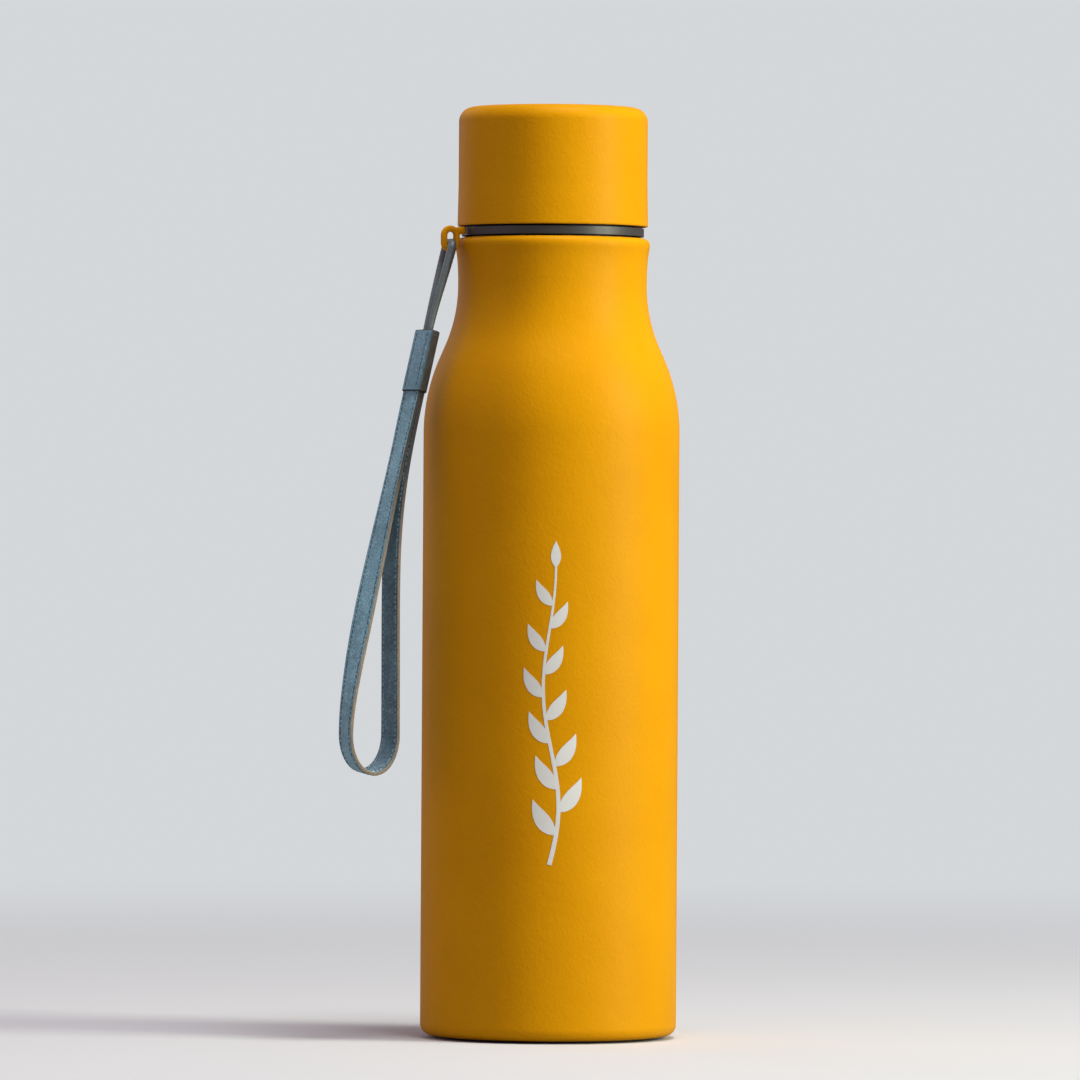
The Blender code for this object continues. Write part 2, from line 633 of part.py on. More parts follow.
def strap_path():
    """The strap's middle line: down the outer leg, round the end, up the inner leg."""
    half_gap = LAYER_THICKNESS + LAYER_GAP
    outer_top = KEEPER_FOOT + KEEPER_FACE * half_gap
    inner_top = KEEPER_FOOT - KEEPER_FACE * half_gap
    outer_end = strap_point(LOOP_OUT + LOOP_RADIUS, LOOP_DROP)
    inner_end = strap_point(LOOP_OUT - LOOP_RADIUS, LOOP_DROP)
    path = [outer_top - KEEPER_AXIS * STRAP_TUCK]
    path += interpolate_bezier(outer_top, outer_top + KEEPER_AXIS * OUTER_REACH[0],
                               outer_end + UP * OUTER_REACH[1], outer_end, 20)
    for step in range(1, 8):
        angle = math.pi * step / 8
        path.append(strap_point(LOOP_OUT + LOOP_RADIUS * math.cos(angle),
                                LOOP_DROP + LOOP_DEPTH * math.sin(angle)))
    path += interpolate_bezier(inner_end, inner_end + UP * INNER_REACH[1],
                               inner_top + KEEPER_AXIS * INNER_REACH[0], inner_top, 18)
    path.append(inner_top - KEEPER_AXIS * STRAP_TUCK)
    return path


def strap_twist(share):
    """The strap's turn about its own line, eased between the listed places."""
    for (start, low), (end, high) in zip(STRAP_TWISTS, STRAP_TWISTS[1:]):
        if share <= end:
            part = (share - start) / (end - start)
            return math.radians(low + (high - low) * part * part * (3.0 - 2.0 * part))
    return 0.0


def strap_layer(near, far):
    """A flat band along the strap's line, between two offsets from it."""
    path = strap_path()
    along = [0.0]
    for start, end in zip(path, path[1:]):
        along.append(along[-1] + (end - start).length)
    sections = []
    for index, point in enumerate(path):
        before = path[max(index - 1, 0)]
        after = path[min(index + 1, len(path) - 1)]
        run = (after - before).normalized()
        across = Matrix.Rotation(strap_twist(along[index] / along[-1]), 3, run) @ STRAP_ACROSS
        outward = across.cross(run)
        side = across * STRAP_WIDTH / 2
        sections.append([point + outward * far + side, point + outward * far - side,
                         point + outward * near - side, point + outward * near + side])
    return swept(sections, False)


def strap_layers(pivot):
    near = LAYER_GAP / 2
    far = LAYER_GAP / 2 + LAYER_THICKNESS
    face = add_material("strap_blue_leather", (0.10, 0.17, 0.22), 0.5)
    lining = add_material("strap_dark_lining", (0.04, 0.055, 0.075), 0.65)
    add_piece("strap_outer", strap_layer(near, far), face, pivot)
    add_piece("strap_lining", strap_layer(-far, -near), lining, pivot)


clear_scene()
outer_shell()
inner_liner()
inner_base()
reflective_foil()
outer_base()
base_pad()
vacuum_seal()
getter_pellet()

cap_pivot = add_pivot("cap_axis", (0.0, 0.0, CAP_BOTTOM))
cap_gasket(cap_pivot)
cap_cover(cap_pivot)
cap_insert(cap_pivot)
cap_foam(cap_pivot)

collar_pivot = add_pivot("collar_axis", (0.0, 0.0, COLLAR_BOTTOM))
collar_ring(collar_pivot)
strap_eye(collar_pivot)

eye_pivot = add_pivot("eye_axis", EYE_PIVOT, collar_pivot)
strap_cord(eye_pivot)

keeper_pivot = add_pivot("keeper_axis", KEEPER_PIVOT, eye_pivot)
cord_crimp(keeper_pivot)
keeper_sleeve(keeper_pivot)
strap_layers(keeper_pivot)
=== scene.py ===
"""Looks of the kids' insulated water bottle: powder coat, steel, leather strap and cord."""

import json
import math
import random

import bmesh
import bpy
from mathutils import Matrix, Vector
from mathutils.geometry import interpolate_bezier


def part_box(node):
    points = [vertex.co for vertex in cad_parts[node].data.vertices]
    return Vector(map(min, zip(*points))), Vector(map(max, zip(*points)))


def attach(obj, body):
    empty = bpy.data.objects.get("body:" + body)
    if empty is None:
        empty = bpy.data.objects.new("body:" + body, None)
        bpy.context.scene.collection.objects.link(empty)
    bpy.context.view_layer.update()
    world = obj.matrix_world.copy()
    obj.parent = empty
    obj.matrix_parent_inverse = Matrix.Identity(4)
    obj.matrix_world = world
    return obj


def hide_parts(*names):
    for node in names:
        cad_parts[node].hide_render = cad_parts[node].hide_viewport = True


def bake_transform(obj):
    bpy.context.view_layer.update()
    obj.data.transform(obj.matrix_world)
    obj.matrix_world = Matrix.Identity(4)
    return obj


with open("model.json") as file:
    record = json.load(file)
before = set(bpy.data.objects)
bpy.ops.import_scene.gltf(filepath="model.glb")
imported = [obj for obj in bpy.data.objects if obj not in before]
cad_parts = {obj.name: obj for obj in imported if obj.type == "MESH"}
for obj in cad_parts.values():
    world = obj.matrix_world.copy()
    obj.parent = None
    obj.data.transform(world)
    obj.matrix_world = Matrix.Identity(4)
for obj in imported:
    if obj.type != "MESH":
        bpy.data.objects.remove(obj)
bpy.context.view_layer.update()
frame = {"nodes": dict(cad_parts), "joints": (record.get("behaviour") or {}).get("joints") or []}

MM = 0.001
UP = Vector((0.0, 0.0, 1.0))
ROUND = 256  # flats round a turned piece
HOLD = 0.25 * MM  # extra loops this close to an outline's corners
NEAR = 0.1 * MM  # places closer than this are taken as one

# Sizes and places that come from the frame
SHELL_LOW, SHELL_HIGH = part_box("outer_shell")
CAP_LOW, CAP_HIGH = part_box("cap_cover")
COLLAR_LOW, COLLAR_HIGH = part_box("collar_ring")
LINER_LOW, LINER_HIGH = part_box("inner_liner")
PAD_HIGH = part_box("base_pad")[1]
BODY_RADIUS = SHELL_HIGH.x
LIP_TOP = SHELL_HIGH.z
CAP_SKIRT_RADIUS = CAP_HIGH.x
JOINTS = {joint["name"]: joint for joint in frame["joints"]}
EYE_PIVOT = Vector(JOINTS["strap_swing"]["pos_m"])
EYE_ACROSS = Vector(JOINTS["strap_swing"]["axis"]).normalized()
EYE_OUT = Vector((EYE_PIVOT.x, EYE_PIVOT.y, 0.0)).normalized()
KEEPER_PIVOT = Vector(JOINTS["strap_sway"]["pos_m"])
KEEPER_FACE = Vector(JOINTS["strap_sway"]["axis"]).normalized()
STRAP_OUT = Vector((KEEPER_FACE.x, KEEPER_FACE.y, 0.0)).normalized()
STRAP_ACROSS = STRAP_OUT.cross(UP)
KEEPER_AXIS = KEEPER_FACE.cross(STRAP_ACROSS)

# Outer shell
NECK_RADIUS = 25.06 * MM
LIP_RADIUS = 25.83 * MM
LIP_ROUND = 1.7 * MM
LIP_BAND = 2.1 * MM  # from the lip's top to where it turns in below
LIP_FOOT = 3.4 * MM  # from the lip's top to the step's foot
LIP_LEAN = 0.05 * MM  # the step's curve under the lip, drawn in
LIP_HOLE_RADIUS = 22.1 * MM
NECK_FLARE = (0.1 * MM, 0.5 * MM)  # the step's curve at its foot, drawn out and down
NECK_REACH = 8.0 * MM  # from the step's foot to where the neck runs straight
SHELL_WALL = 0.8 * MM
SHOULDER_SLOPE = math.radians(23.4)
SHOULDER_HOLLOW = 40.0 * MM
SHOULDER_ROUND = 50.0 * MM
SHOULDER_FOOT = 160.2 * MM
BASE_CORNER = 3.0 * MM
SHELL_HEM_RADIUS = 30.3 * MM

# Liner and thread
LINER_WALL = 0.6 * MM
LINER_RIM = 0.28 * MM
LINER_NECK_RADIUS = 21.3 * MM
LINER_SHOULDER_FOOT = 157.5 * MM
THREAD_PITCH = 5.0 * MM
THREAD_DEPTH = 1.0 * MM
THREAD_CLEARANCE = 0.35 * MM
THREAD_LOW = 216.6 * MM
THREAD_HIGH = 228.6 * MM
THREAD_FADE = 2.5 * MM
THREAD_MARGIN = 0.5 * MM  # of plain neck above it
THREAD_ROWS = 60
THREAD_FLATS = 160  # round a threaded piece
NECK_SHADE_LOW = 195.0 * MM  # the neck gets a near-black painted shade from here up to its thread

# Cap
CAP_RADIUS = 25.09 * MM
CAP_WALL = 0.8 * MM
CAP_CORNER = 3.8 * MM
CAP_SKIRT_TAPER = 226.0 * MM
CAP_HEM = 0.38 * MM
INSERT_RADIUS = 24.0 * MM
INSERT_BOTTOM = 215.6 * MM
INSERT_CEILING = 233.2 * MM
INSERT_TOP = 235.0 * MM
INSERT_LEAD = 0.25 * MM  # how much wider its thread's mouth is
PLUG_RADIUS = 20.2 * MM
PLUG_WALL = 1.5 * MM
PLUG_BOTTOM = 222.0 * MM
PLUG_CORNER = 1.0 * MM

# Base
BASE_RADIUS = 29.9 * MM
BASE_WALL = 0.6 * MM
BASE_TOP = 3.6 * MM
BASE_BEND = 2.0 * MM
BASE_RIM_LIFT = 0.1 * MM
EVACUATION_HOLE = 1.2 * MM
PAD_CORNER = 0.4 * MM
PAD_RECESS = (4.0 * MM, 1.7 * MM)  # radius and height of the space under the seal
PAD_GROOVES = (23.0 * MM, 16.0 * MM, 9.0 * MM)
PAD_GROOVE_HALF = 0.7 * MM
PAD_GROOVE_DEPTH = 0.3 * MM

# Collar and eye
COLLAR_INNER = 22.6 * MM
COLLAR_EDGE = 0.03 * MM
COLLAR_INSET = 0.03 * MM
EYE_RADIUS = 1.74 * MM  # of the loop's middle line in its two bends
EYE_RISE = 1.95 * MM  # from the lower bend's middle to the upper one's
EYE_BAND_HALF = 0.84 * MM
EYE_DEPTH_HALF = 0.9 * MM
EYE_STEPS = 72
EYE_SIDES = 28
EYE_SQUARENESS = 0.75  # 1 is round, less is squarer
BOSS_PLACE = (24.55 * MM, 213.75 * MM)
BOSS_SIZE = (2.6 * MM, 1.15 * MM, 1.0 * MM)  # length, half width, half height
BOSS_SQUARENESS = 0.55

# Cord, keeper and strap
CORD_EYE_RADIUS = 1.02 * MM  # squeezed where it lies in the eye
CORD_RADIUS = 1.24 * MM  # just below the eye
CORD_END_RADIUS = 0.8 * MM  # where it enters the keeper
CORD_SPREAD = 2.45 * MM
CORD_BEND = 1.5 * MM
CORD_CLOSE = 0.87 * MM
CORD_TUCK = 2.6 * MM  # the cord's ends run this far into the keeper
CORD_PULLS = (9.0 * MM, 8.0 * MM)  # the curve's handles at the eye and at the keeper
CORD_SIDES = 32
BRAID_STEPS = 300
BRAID_LAY = 2.6 * MM
BRAID_RELIEF = 0.035  # share of the radius
PIVOT_ABOVE_KEEPER = 1.0 * MM
KEEPER_LENGTH = 16.8 * MM
KEEPER_WIDTH = 8.3 * MM
KEEPER_THICKNESS = 3.4 * MM
KEEPER_WALL = 0.45 * MM
KEEPER_CORNER = 1.35 * MM
KEEPER_ROLL = 0.36 * MM  # how far the ends are rolled in
KEEPER_SWELL = 0.1 * MM
KEEPER_STITCH_INSET = 1.75 * MM
KEEPER_LINING_CORNER = 0.4 * MM
KEEPER_LINING_ROW = 4.0 * MM  # its lining bends no nearer to the ends than this
SEAM_DEPTH = 0.17 * MM
SEAM_WIDTH = 0.3 * MM
STRAP_WIDTH = 7.0 * MM
STRAP_HALF = 0.48 * MM  # half the strap's thickness
STRAP_GAP_HALF = 0.08 * MM  # between the two ends in the keeper
STRAP_EDGE_ROUND = 0.2 * MM
STRAP_CROWN = 0.07 * MM
LAYER_GAP_HALF = 0.015 * MM
STRAP_TWISTS = ((0.0, 0.0), (0.05, 0.0), (0.12, 4.0), (0.30, -8.0), (0.46, 10.0),
                (0.58, 2.0), (1.0, 0.0))  # share of its length, degrees
STRAP_TUCK = 9.5 * MM
STRAP_STEPS = 420
LOOP_DROP = 90.2 * MM
LOOP_OUT = 14.2 * MM
LOOP_RADIUS = 7.2 * MM
LOOP_DEPTH = 9.8 * MM
OUTER_REACH = (60.0 * MM, 12.0 * MM)
INNER_REACH = (36.0 * MM, 50.0 * MM)
EDGE_PALE_BELOW = 128.0 * MM  # the strap's cut edge is pale below this height
EDGE_DARK_ABOVE = 152.0 * MM
STITCH_INSET = 0.95 * MM
STITCH_LENGTH = 0.85 * MM
STITCH_STEP = 1.35 * MM
STITCH_START = 0.3 * MM
STITCH_WOBBLE = 0.05 * MM
STITCH_SINK = 0.06 * MM  # the stitches' ends below the face
STITCH_BOW = 0.13 * MM
KEEPER_STITCH_MARGIN = 0.9 * MM  # free of stitches at either end
KEEPER_STITCH_SINK = 0.16 * MM
KEEPER_STITCH_BOW = 0.15 * MM
KEEPER_STITCH_WOBBLE = 0.04 * MM
STITCH_RADIUS = 0.12 * MM

# Printed sprig on the front, in place of lettering
SPRIG_LOW = 47.0 * MM
SPRIG_HIGH = 126.0 * MM
STEM_SWAY = 2.6 * MM
STEM_WAVES = 1.25
STEM_STEPS = 70
STEM_HALF = (0.62 * MM, 0.28 * MM)  # half its width at the foot and at the tip
LEAVES = 11
LEAF_FIRST = 0.10  # share of the stem's height
LEAF_STEP = 0.076
LEAF_LEAN = math.radians(52.0)
LEAF_SIZE = (11.5 * MM, 2.1 * MM)  # length and half width of the lowest
TIP_LEAF_SIZE = (7.0 * MM, 1.3 * MM)
INK_LIFT = 0.03 * MM
INK_THICKNESS = 0.05 * MM

# Camera and light
CAMERA_DISTANCE = 2.28
CAMERA_HEIGHT = 0.132
CAMERA_LEFT = 2.9 * MM
CAMERA_LENS = 286.14
CAMERA_ROLL = math.radians(0.35)
FLOOR_HALF = 30.0
FLOOR_DROP = 0.05 * MM
LIGHTS_AIM = Vector((0.0, 0.0, 0.14))
BACKDROP = (0.66, 0.68, 0.70)
ROOM = (1.0, 0.86, 1.0)
ROOM_STRENGTH = 0.21
FLOOR_BOUNCE = (0.34, 0.34, 0.34)  # the floor's tone in the light it throws back
FADE_START = 0.10  # metres from the bottle
FADE_END = 1.1

KEEPER_START = KEEPER_PIVOT + KEEPER_AXIS * PIVOT_ABOVE_KEEPER
KEEPER_FOOT = KEEPER_START + KEEPER_AXIS * KEEPER_LENGTH


# ---- node materials

class Nodes:
    """The shader nodes of a material or of the world."""

    def __init__(self, owner):
        owner.use_nodes = True
        self.tree = owner.node_tree

    def node(self, kind, settings=None, **values):
        made = self.tree.nodes.new(kind)
        for key, value in (settings or {}).items():
            setattr(made, key, value)
        for key, value in values.items():
            self.put(made.inputs[key.replace("_", " ")], value)
        return made

    def put(self, socket, value):
        if isinstance(value, bpy.types.NodeSocket):
            self.tree.links.new(value, socket)
        else:
            socket.default_value = (*value, 1.0) if socket.type == "RGBA" else value

    def seen(self):
        return self.node("ShaderNodeLightPath").outputs["Is Camera Ray"]

    def finish_with(self, output, share, first, second):
        """Sends a mix of two shaders to the output node."""
        both = self.node("ShaderNodeMixShader")
        for index, value in enumerate((share, first.outputs[0], second.outputs[0])):
            self.put(both.inputs[index], value)
        self.put(self.tree.nodes[output].inputs["Surface"], both.outputs[0])


class Finish(Nodes):
    """A procedural material being put together."""

    def __init__(self, name, roughness=0.5, metallic=0.0):
        self.material = bpy.data.materials.new(name)
        super().__init__(self.material)
        self.shader = self.tree.nodes["Principled BSDF"]
        self.set(Roughness=roughness, Metallic=metallic)
        self.place = self.node("ShaderNodeTexCoord").outputs["Object"]

    def stretched(self, x, y, z):
        """Object coordinates scaled per axis, so a pattern can run along one of them."""
        return self.node("ShaderNodeMapping", Vector=self.place, Scale=(x, y, z)).outputs[0]

    def noise(self, scale, detail=4.0, place=None):
        made = self.node("ShaderNodeTexNoise", Vector=place or self.place, Scale=scale,
                         Detail=detail, Roughness=0.55)
        return made.outputs["Fac"]

    def cells(self, scale, feature="F1"):
        made = self.node("ShaderNodeTexVoronoi", {"feature": feature}, Vector=self.place,
                         Scale=scale)
        return made.outputs["Distance"]

    def ramp(self, value, low, high, start=0.0, end=1.0, kind="LINEAR"):
        """Maps a value from low..high to start..end."""
        made = self.node("ShaderNodeMapRange", {"interpolation_type": kind}, Value=value)
        for index, number in enumerate((low, high, start, end), 1):
            made.inputs[index].default_value = number
        return made.outputs[0]

    def mix(self, share, first, second):
        made = self.node("ShaderNodeMix", {"data_type": "RGBA"})
        for index, value in ((0, share), (6, first), (7, second)):
            self.put(made.inputs[index], value)
        return made.outputs[2]

    def spread(self, pattern, low, high):
        """Brings a noise pattern's usual values out to low..high."""
        return self.ramp(pattern, 0.3, 0.7, low, high)

    def math(self, operation, first, second=0.0):
        made = self.node("ShaderNodeMath", {"operation": operation})
        self.put(made.inputs[0], first)
        self.put(made.inputs[1], second)
        return made.outputs[0]

    def facing(self, direction):
        """How far the surface looks along a direction, from -1 to 1."""
        turned = self.node("ShaderNodeVectorMath", {"operation": "DOT_PRODUCT"})
        self.put(turned.inputs[0], self.node("ShaderNodeTexCoord").outputs["Normal"])
        turned.inputs[1].default_value = direction
        return turned.outputs["Value"]

    def colour(self, value):
        self.put(self.shader.inputs["Base Color"], value)

    def rough(self, value):
        self.put(self.shader.inputs["Roughness"], value)

    def bumps(self, *layers):
        """Stacks (pattern, strength, depth in mm) layers of relief."""
        normal = None
        for pattern, strength, depth in layers:
            made = self.node("ShaderNodeBump", Height=pattern, Strength=strength,
                             Distance=depth * MM)
            if normal is not None:
                self.put(made.inputs["Normal"], normal)
            normal = made.outputs[0]
        self.put(self.shader.inputs["Normal"], normal)

    def set(self, **values):
        for key, value in values.items():
            self.put(self.shader.inputs[key.replace("_", " ")], value)


def powder_coat(name, base, shade):
    """Satin baked powder: fine pebbles, faint cloudiness and a softer grain between."""
    look = Finish(name)
    cloud = look.noise(38.0, 3.0)
    speck = look.noise(2600.0, 2.0)
    tone = look.mix(look.spread(cloud, 0.0, 1.0), base, shade)
    look.colour(look.mix(look.ramp(speck, 0.35, 0.75, 0.0, 0.16), tone, shade))
    look.rough(look.spread(look.noise(900.0, 3.0), 0.40, 0.50))
    pebble = look.cells(1500.0, feature="SMOOTH_F1")
    look.bumps((look.noise(420.0, 2.0), 0.45, 0.10),
               (pebble, 0.5, 0.09),
               (look.noise(3800.0, 2.0), 0.25, 0.02))
    look.set(Specular_IOR_Level=0.06)
    return look.material


def spun_steel(name, base, dark, roughness):
    """Steel with fine rings from the lathe and faint smudges."""
    look = Finish(name, roughness, 1.0)
    rings = look.noise(1.0, 3.0, look.stretched(60.0, 60.0, 9000.0))
    smudge = look.noise(70.0, 4.0)
    look.colour(look.mix(rings, base, dark))
    look.rough(look.math("ADD", look.spread(rings, -0.05, 0.07),
                         look.spread(smudge, roughness - 0.04, roughness + 0.08)))
    look.bumps((rings, 0.12, 0.02))
    look.set(Anisotropic=0.55)
    return look.material


def moulded_plastic(name, base, shade, roughness):
    look = Finish(name)
    look.colour(look.mix(look.noise(90.0, 3.0), base, shade))
    look.rough(look.spread(look.noise(700.0, 3.0), roughness - 0.06, roughness + 0.08))
    look.bumps((look.noise(2400.0, 2.0), 0.18, 0.03))
    return look.material


def collar_plastic():
    """Dark satin grey with fine turning lines."""
    look = Finish("collar_grey", 0.44, 0.4)
    lines = look.noise(1.0, 2.0, look.stretched(90.0, 90.0, 12000.0))
    look.colour(look.mix(lines, (0.050, 0.049, 0.047), (0.098, 0.096, 0.092)))
    look.rough(look.spread(look.noise(500.0), 0.42, 0.50))
    look.bumps((lines, 0.1, 0.02))
    return look.material


def silicone(name, base, shade):
    look = Finish(name, 0.6)
    look.colour(look.mix(look.noise(120.0, 4.0), base, shade))
    look.rough(look.spread(look.noise(800.0), 0.52, 0.7))
    look.bumps((look.noise(1800.0, 3.0), 0.2, 0.04))
    look.set(Sheen_Weight=0.12, Sheen_Roughness=0.4)
    return look.material


def foil():
    look = Finish("copper_foil", 0.25, 1.0)
    crease = look.cells(260.0, feature="DISTANCE_TO_EDGE")
    look.colour(look.mix(look.noise(60.0), (0.78, 0.38, 0.22), (0.62, 0.28, 0.15)))
    look.bumps((look.ramp(crease, 0.0, 0.12), 0.35, 0.15),
               (look.noise(500.0), 0.3, 0.08))
    return look.material


def rough_metal(name, base, shade, roughness):
    look = Finish(name, roughness, 0.9)
    look.colour(look.mix(look.noise(900.0, 5.0), base, shade))
    look.rough(look.spread(look.noise(1500.0), roughness - 0.1, roughness + 0.1))
    look.bumps((look.noise(2000.0, 4.0), 0.4, 0.08))
    return look.material


def insulation_foam():
    look = Finish("cap_foam_white", 0.9)
    bubbles = look.cells(900.0)
    look.colour(look.mix(bubbles, (0.80, 0.77, 0.68), (0.90, 0.88, 0.82)))
    look.bumps((bubbles, 0.6, 0.3), (look.noise(2500.0), 0.3, 0.1))
    look.set(Subsurface_Weight=0.1, Subsurface_Radius=(0.001, 0.001, 0.0008))
    return look.material


def leather(name, base, shade, worn, roughness, grain, painted_side_shade=None):
    """Grained leather: pebbles with painted shade in the creases between them, paler where rubbed.

    Given a side colour, the surfaces that look along the strap's width get it as a painted shade.
    """
    look = Finish(name)
    cell = look.cells(grain, feature="DISTANCE_TO_EDGE")
    crease = look.ramp(cell, 0.0, 0.16, 1.0, 0.0)
    cloud = look.noise(140.0, 5.0)
    speck = look.noise(grain * 1.6, 3.0)
    rubbed = look.ramp(look.noise(420.0, 4.0), 0.5, 0.7, 0.0, 0.6)
    tone = look.mix(look.ramp(cloud, 0.32, 0.68), base, shade)
    tone = look.mix(rubbed, tone, worn)
    tone = look.mix(look.ramp(speck, 0.52, 0.68, 0.0, 0.75), tone, worn)
    tone = look.mix(look.ramp(speck, 0.48, 0.34, 0.0, 0.75), tone, shade)
    # Painted shade darkens the creases between the pebbles.
    tone = look.mix(look.math("MULTIPLY", crease, 0.55), tone, shade)
    # Painted shade on the surfaces that look along the strap's width.
    if painted_side_shade:
        sideways = look.math("ABSOLUTE", look.facing(STRAP_ACROSS))
        tone = look.mix(look.ramp(sideways, 0.30, 0.95), tone, painted_side_shade)
    look.colour(tone)
    look.rough(look.spread(cloud, roughness - 0.07, roughness + 0.1))
    look.bumps((look.noise(300.0, 3.0), 0.3, 0.2),
               (look.ramp(cell, 0.0, 0.16), 0.8, 0.12),
               (speck, 0.4, 0.05))
    look.set(Sheen_Weight=0.08, Sheen_Roughness=0.5, Specular_IOR_Level=0.45)
    return look.material


def raw_edge():
    """Cut leather: tan fibres in thin layers, darker towards the top of the strap."""
    look = Finish("leather_raw_edge")
    fibre = look.noise(2600.0, 5.0)
    patch = look.noise(210.0, 3.0)
    tone = look.mix(look.ramp(patch, 0.35, 0.65),
                    (0.36, 0.26, 0.17), (0.22, 0.20, 0.17))
    tone = look.mix(look.spread(fibre, 0.0, 0.7), tone, (0.12, 0.09, 0.07))
    # The edge turns near-black towards the top, by height alone.
    height = look.node("ShaderNodeSeparateXYZ", Vector=look.place).outputs["Z"]
    look.colour(look.mix(look.ramp(height, EDGE_PALE_BELOW, EDGE_DARK_ABOVE, 0.0, 0.9),
                         tone, (0.035, 0.024, 0.016)))
    look.rough(look.spread(fibre, 0.6, 0.85))
    look.bumps((fibre, 0.5, 0.06), (patch, 0.2, 0.05))
    return look.material


def spun_thread(name, base, shade):
    """Waxed thread: tight oblique twist."""
    look = Finish(name, 0.55)
    twist = look.node("ShaderNodeTexWave", {"wave_type": "BANDS", "bands_direction": "DIAGONAL"},
                      Vector=look.place, Scale=2600.0, Distortion=1.5).outputs["Fac"]
    look.colour(look.mix(twist, base, shade))
    look.bumps((twist, 0.5, 0.04))
    look.set(Sheen_Weight=0.2, Sheen_Roughness=0.4)
    return look.material


def braided_cord():
    """Nylon braid: fine yarn lines over the braid's own relief, with painted shade on the side that
    faces the bottle.
    """
    look = Finish("cord_braid")
    yarn = look.noise(1.0, 2.0, look.stretched(5200.0, 5200.0, 1600.0))
    dust = look.noise(330.0, 4.0)
    tone = look.mix(yarn, (0.090, 0.110, 0.115), (0.24, 0.31, 0.32))
    tone = look.mix(look.ramp(dust, 0.45, 0.7, 0.0, 0.5), tone, (0.15, 0.12, 0.10))
    # Painted shade on the side of the cord that faces the bottle.
    inward = look.ramp(look.facing(-STRAP_OUT), -0.45, 0.45, 0.0, 0.85)
    look.colour(look.mix(inward, tone, (0.036, 0.028, 0.021)))
    look.rough(look.spread(dust, 0.34, 0.5))
    look.bumps((yarn, 0.4, 0.03))
    look.set(Sheen_Weight=0.25, Sheen_Roughness=0.35)
    return look.material


def white_ink():
    """Screen-printed white: slightly thin in specks, following the coat's grain."""
    look = Finish("printed_white", 0.5)
    speck = look.noise(2400.0, 3.0)
    look.colour(look.mix(look.ramp(speck, 0.62, 0.8, 0.0, 0.35),
                         (0.82, 0.82, 0.80), (0.78, 0.62, 0.30)))
    look.bumps((look.cells(1500.0, feature="SMOOTH_F1"), 0.2, 0.05))
    return look.material


# ---- mesh helpers

def arc(centre, radius, start, end, steps):
    """Points of an arc in the radius-height plane, angles in degrees."""
    turns = [math.radians(start + (end - start) * step / steps) for step in range(steps + 1)]
    return [(centre[0] + radius * math.cos(turn), centre[1] + radius * math.sin(turn))
            for turn in turns]


def held(outline, closed):
    """Adds points close to both ends of each long run, so that flats shade flat."""
    result = []
    for start, end in zip(outline, outline[1:] + (outline[:1] if closed else [])):
        result.append(start)
        length = math.dist(start, end)
        if length > 6 * HOLD:
            for share in (HOLD / length, 1 - HOLD / length):
                result.append(tuple(a + (b - a) * share for a, b in zip(start, end)))
    return result if closed else result + outline[-1:]


def add_object(name, data):
    made = bpy.data.objects.new(name, data)
    bpy.context.scene.collection.objects.link(made)
    return made


def add_mesh(name, points, faces, *finishes):
    """Makes an object with its faces pointing out, smooth but for its sharp edges."""
    mesh = bpy.data.meshes.new(name)
    mesh.from_pydata([tuple(point) for point in points], [], faces)
    edit = bmesh.new()
    edit.from_mesh(mesh)
    bmesh.ops.recalc_face_normals(edit, faces=edit.faces)
    edit.to_mesh(mesh)
    edit.free()
    mesh.shade_smooth()
    mesh.set_sharp_from_angle(angle=math.radians(50.0))
    for finish in finishes:
        mesh.materials.append(finish)
    return add_object(name, mesh)


def bridge(rows, closed):
    """Faces between neighbouring rows of point numbers, triangles where points repeat."""
    faces = []
    for near, far in zip(rows, rows[1:] + (rows[:1] if closed else [])):
        for step in range(len(near)):
            after = (step + 1) % len(near)
            face = (near[step], near[after], far[after], far[step])
            faces.append(tuple(dict.fromkeys(face)))
    return faces


def lathe(name, outline, closed, finish, segments=ROUND, change=None):
    """Turns an outline of (radius, height) points round the bottle's centre line."""
    points, rows = [], []
    for radius, height in held(outline, closed) if change is None else outline:
        if radius < NEAR:
            rows.append([len(points)] * segments)
            points.append((0.0, 0.0, height))
            continue
        rows.append(range(len(points), len(points) + segments))
        for step in range(segments):
            angle = math.tau * step / segments
            grown = radius + (change(radius, angle, height) if change else 0.0)
            points.append((grown * math.cos(angle), grown * math.sin(angle), height))
    return add_mesh(name, points, bridge(rows, closed), finish)


def add_tubes(name, tubes, closed, *finishes):
    """Makes one object of skins over lists of rings; those that aren't closed get ends."""
    points, faces = [], []
    for rings in tubes:
        rows = []
        for ring in rings:
            rows.append(range(len(points), len(points) + len(ring)))
            points += ring
        faces += bridge(rows, closed)
        if not closed:
            faces += [tuple(reversed(rows[0])), tuple(rows[-1])]
    return add_mesh(name, points, faces, *finishes)


def place(piece, body, slot, *nodes):
    """Rides a piece on its body and hides the CAD nodes that it stands for."""
    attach(piece, body)
    if nodes:
        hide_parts(*nodes)


def smooth_step(value):
    value = max(0.0, min(1.0, value))
    return value * value * (3.0 - 2.0 * value)


# ---- bottle

def shoulder(neck_radius, body_radius, foot, inset, steps=20):
    """The S curve from neck to body, top to bottom, moved inwards by inset."""
    slope = math.degrees(SHOULDER_SLOPE)
    flare = 1.0 - math.cos(SHOULDER_SLOPE)
    fall = body_radius - neck_radius - (SHOULDER_HOLLOW + SHOULDER_ROUND) * flare
    rise = (SHOULDER_HOLLOW + SHOULDER_ROUND) * math.sin(SHOULDER_SLOPE)
    top = foot + rise + fall / math.tan(SHOULDER_SLOPE)
    hollow = arc((neck_radius + SHOULDER_HOLLOW, top), SHOULDER_HOLLOW + inset,
                 180.0, 180.0 + slope, steps)
    full = arc((body_radius - SHOULDER_ROUND, foot), SHOULDER_ROUND - inset,
               slope, 0.0, steps)
    return hollow + full


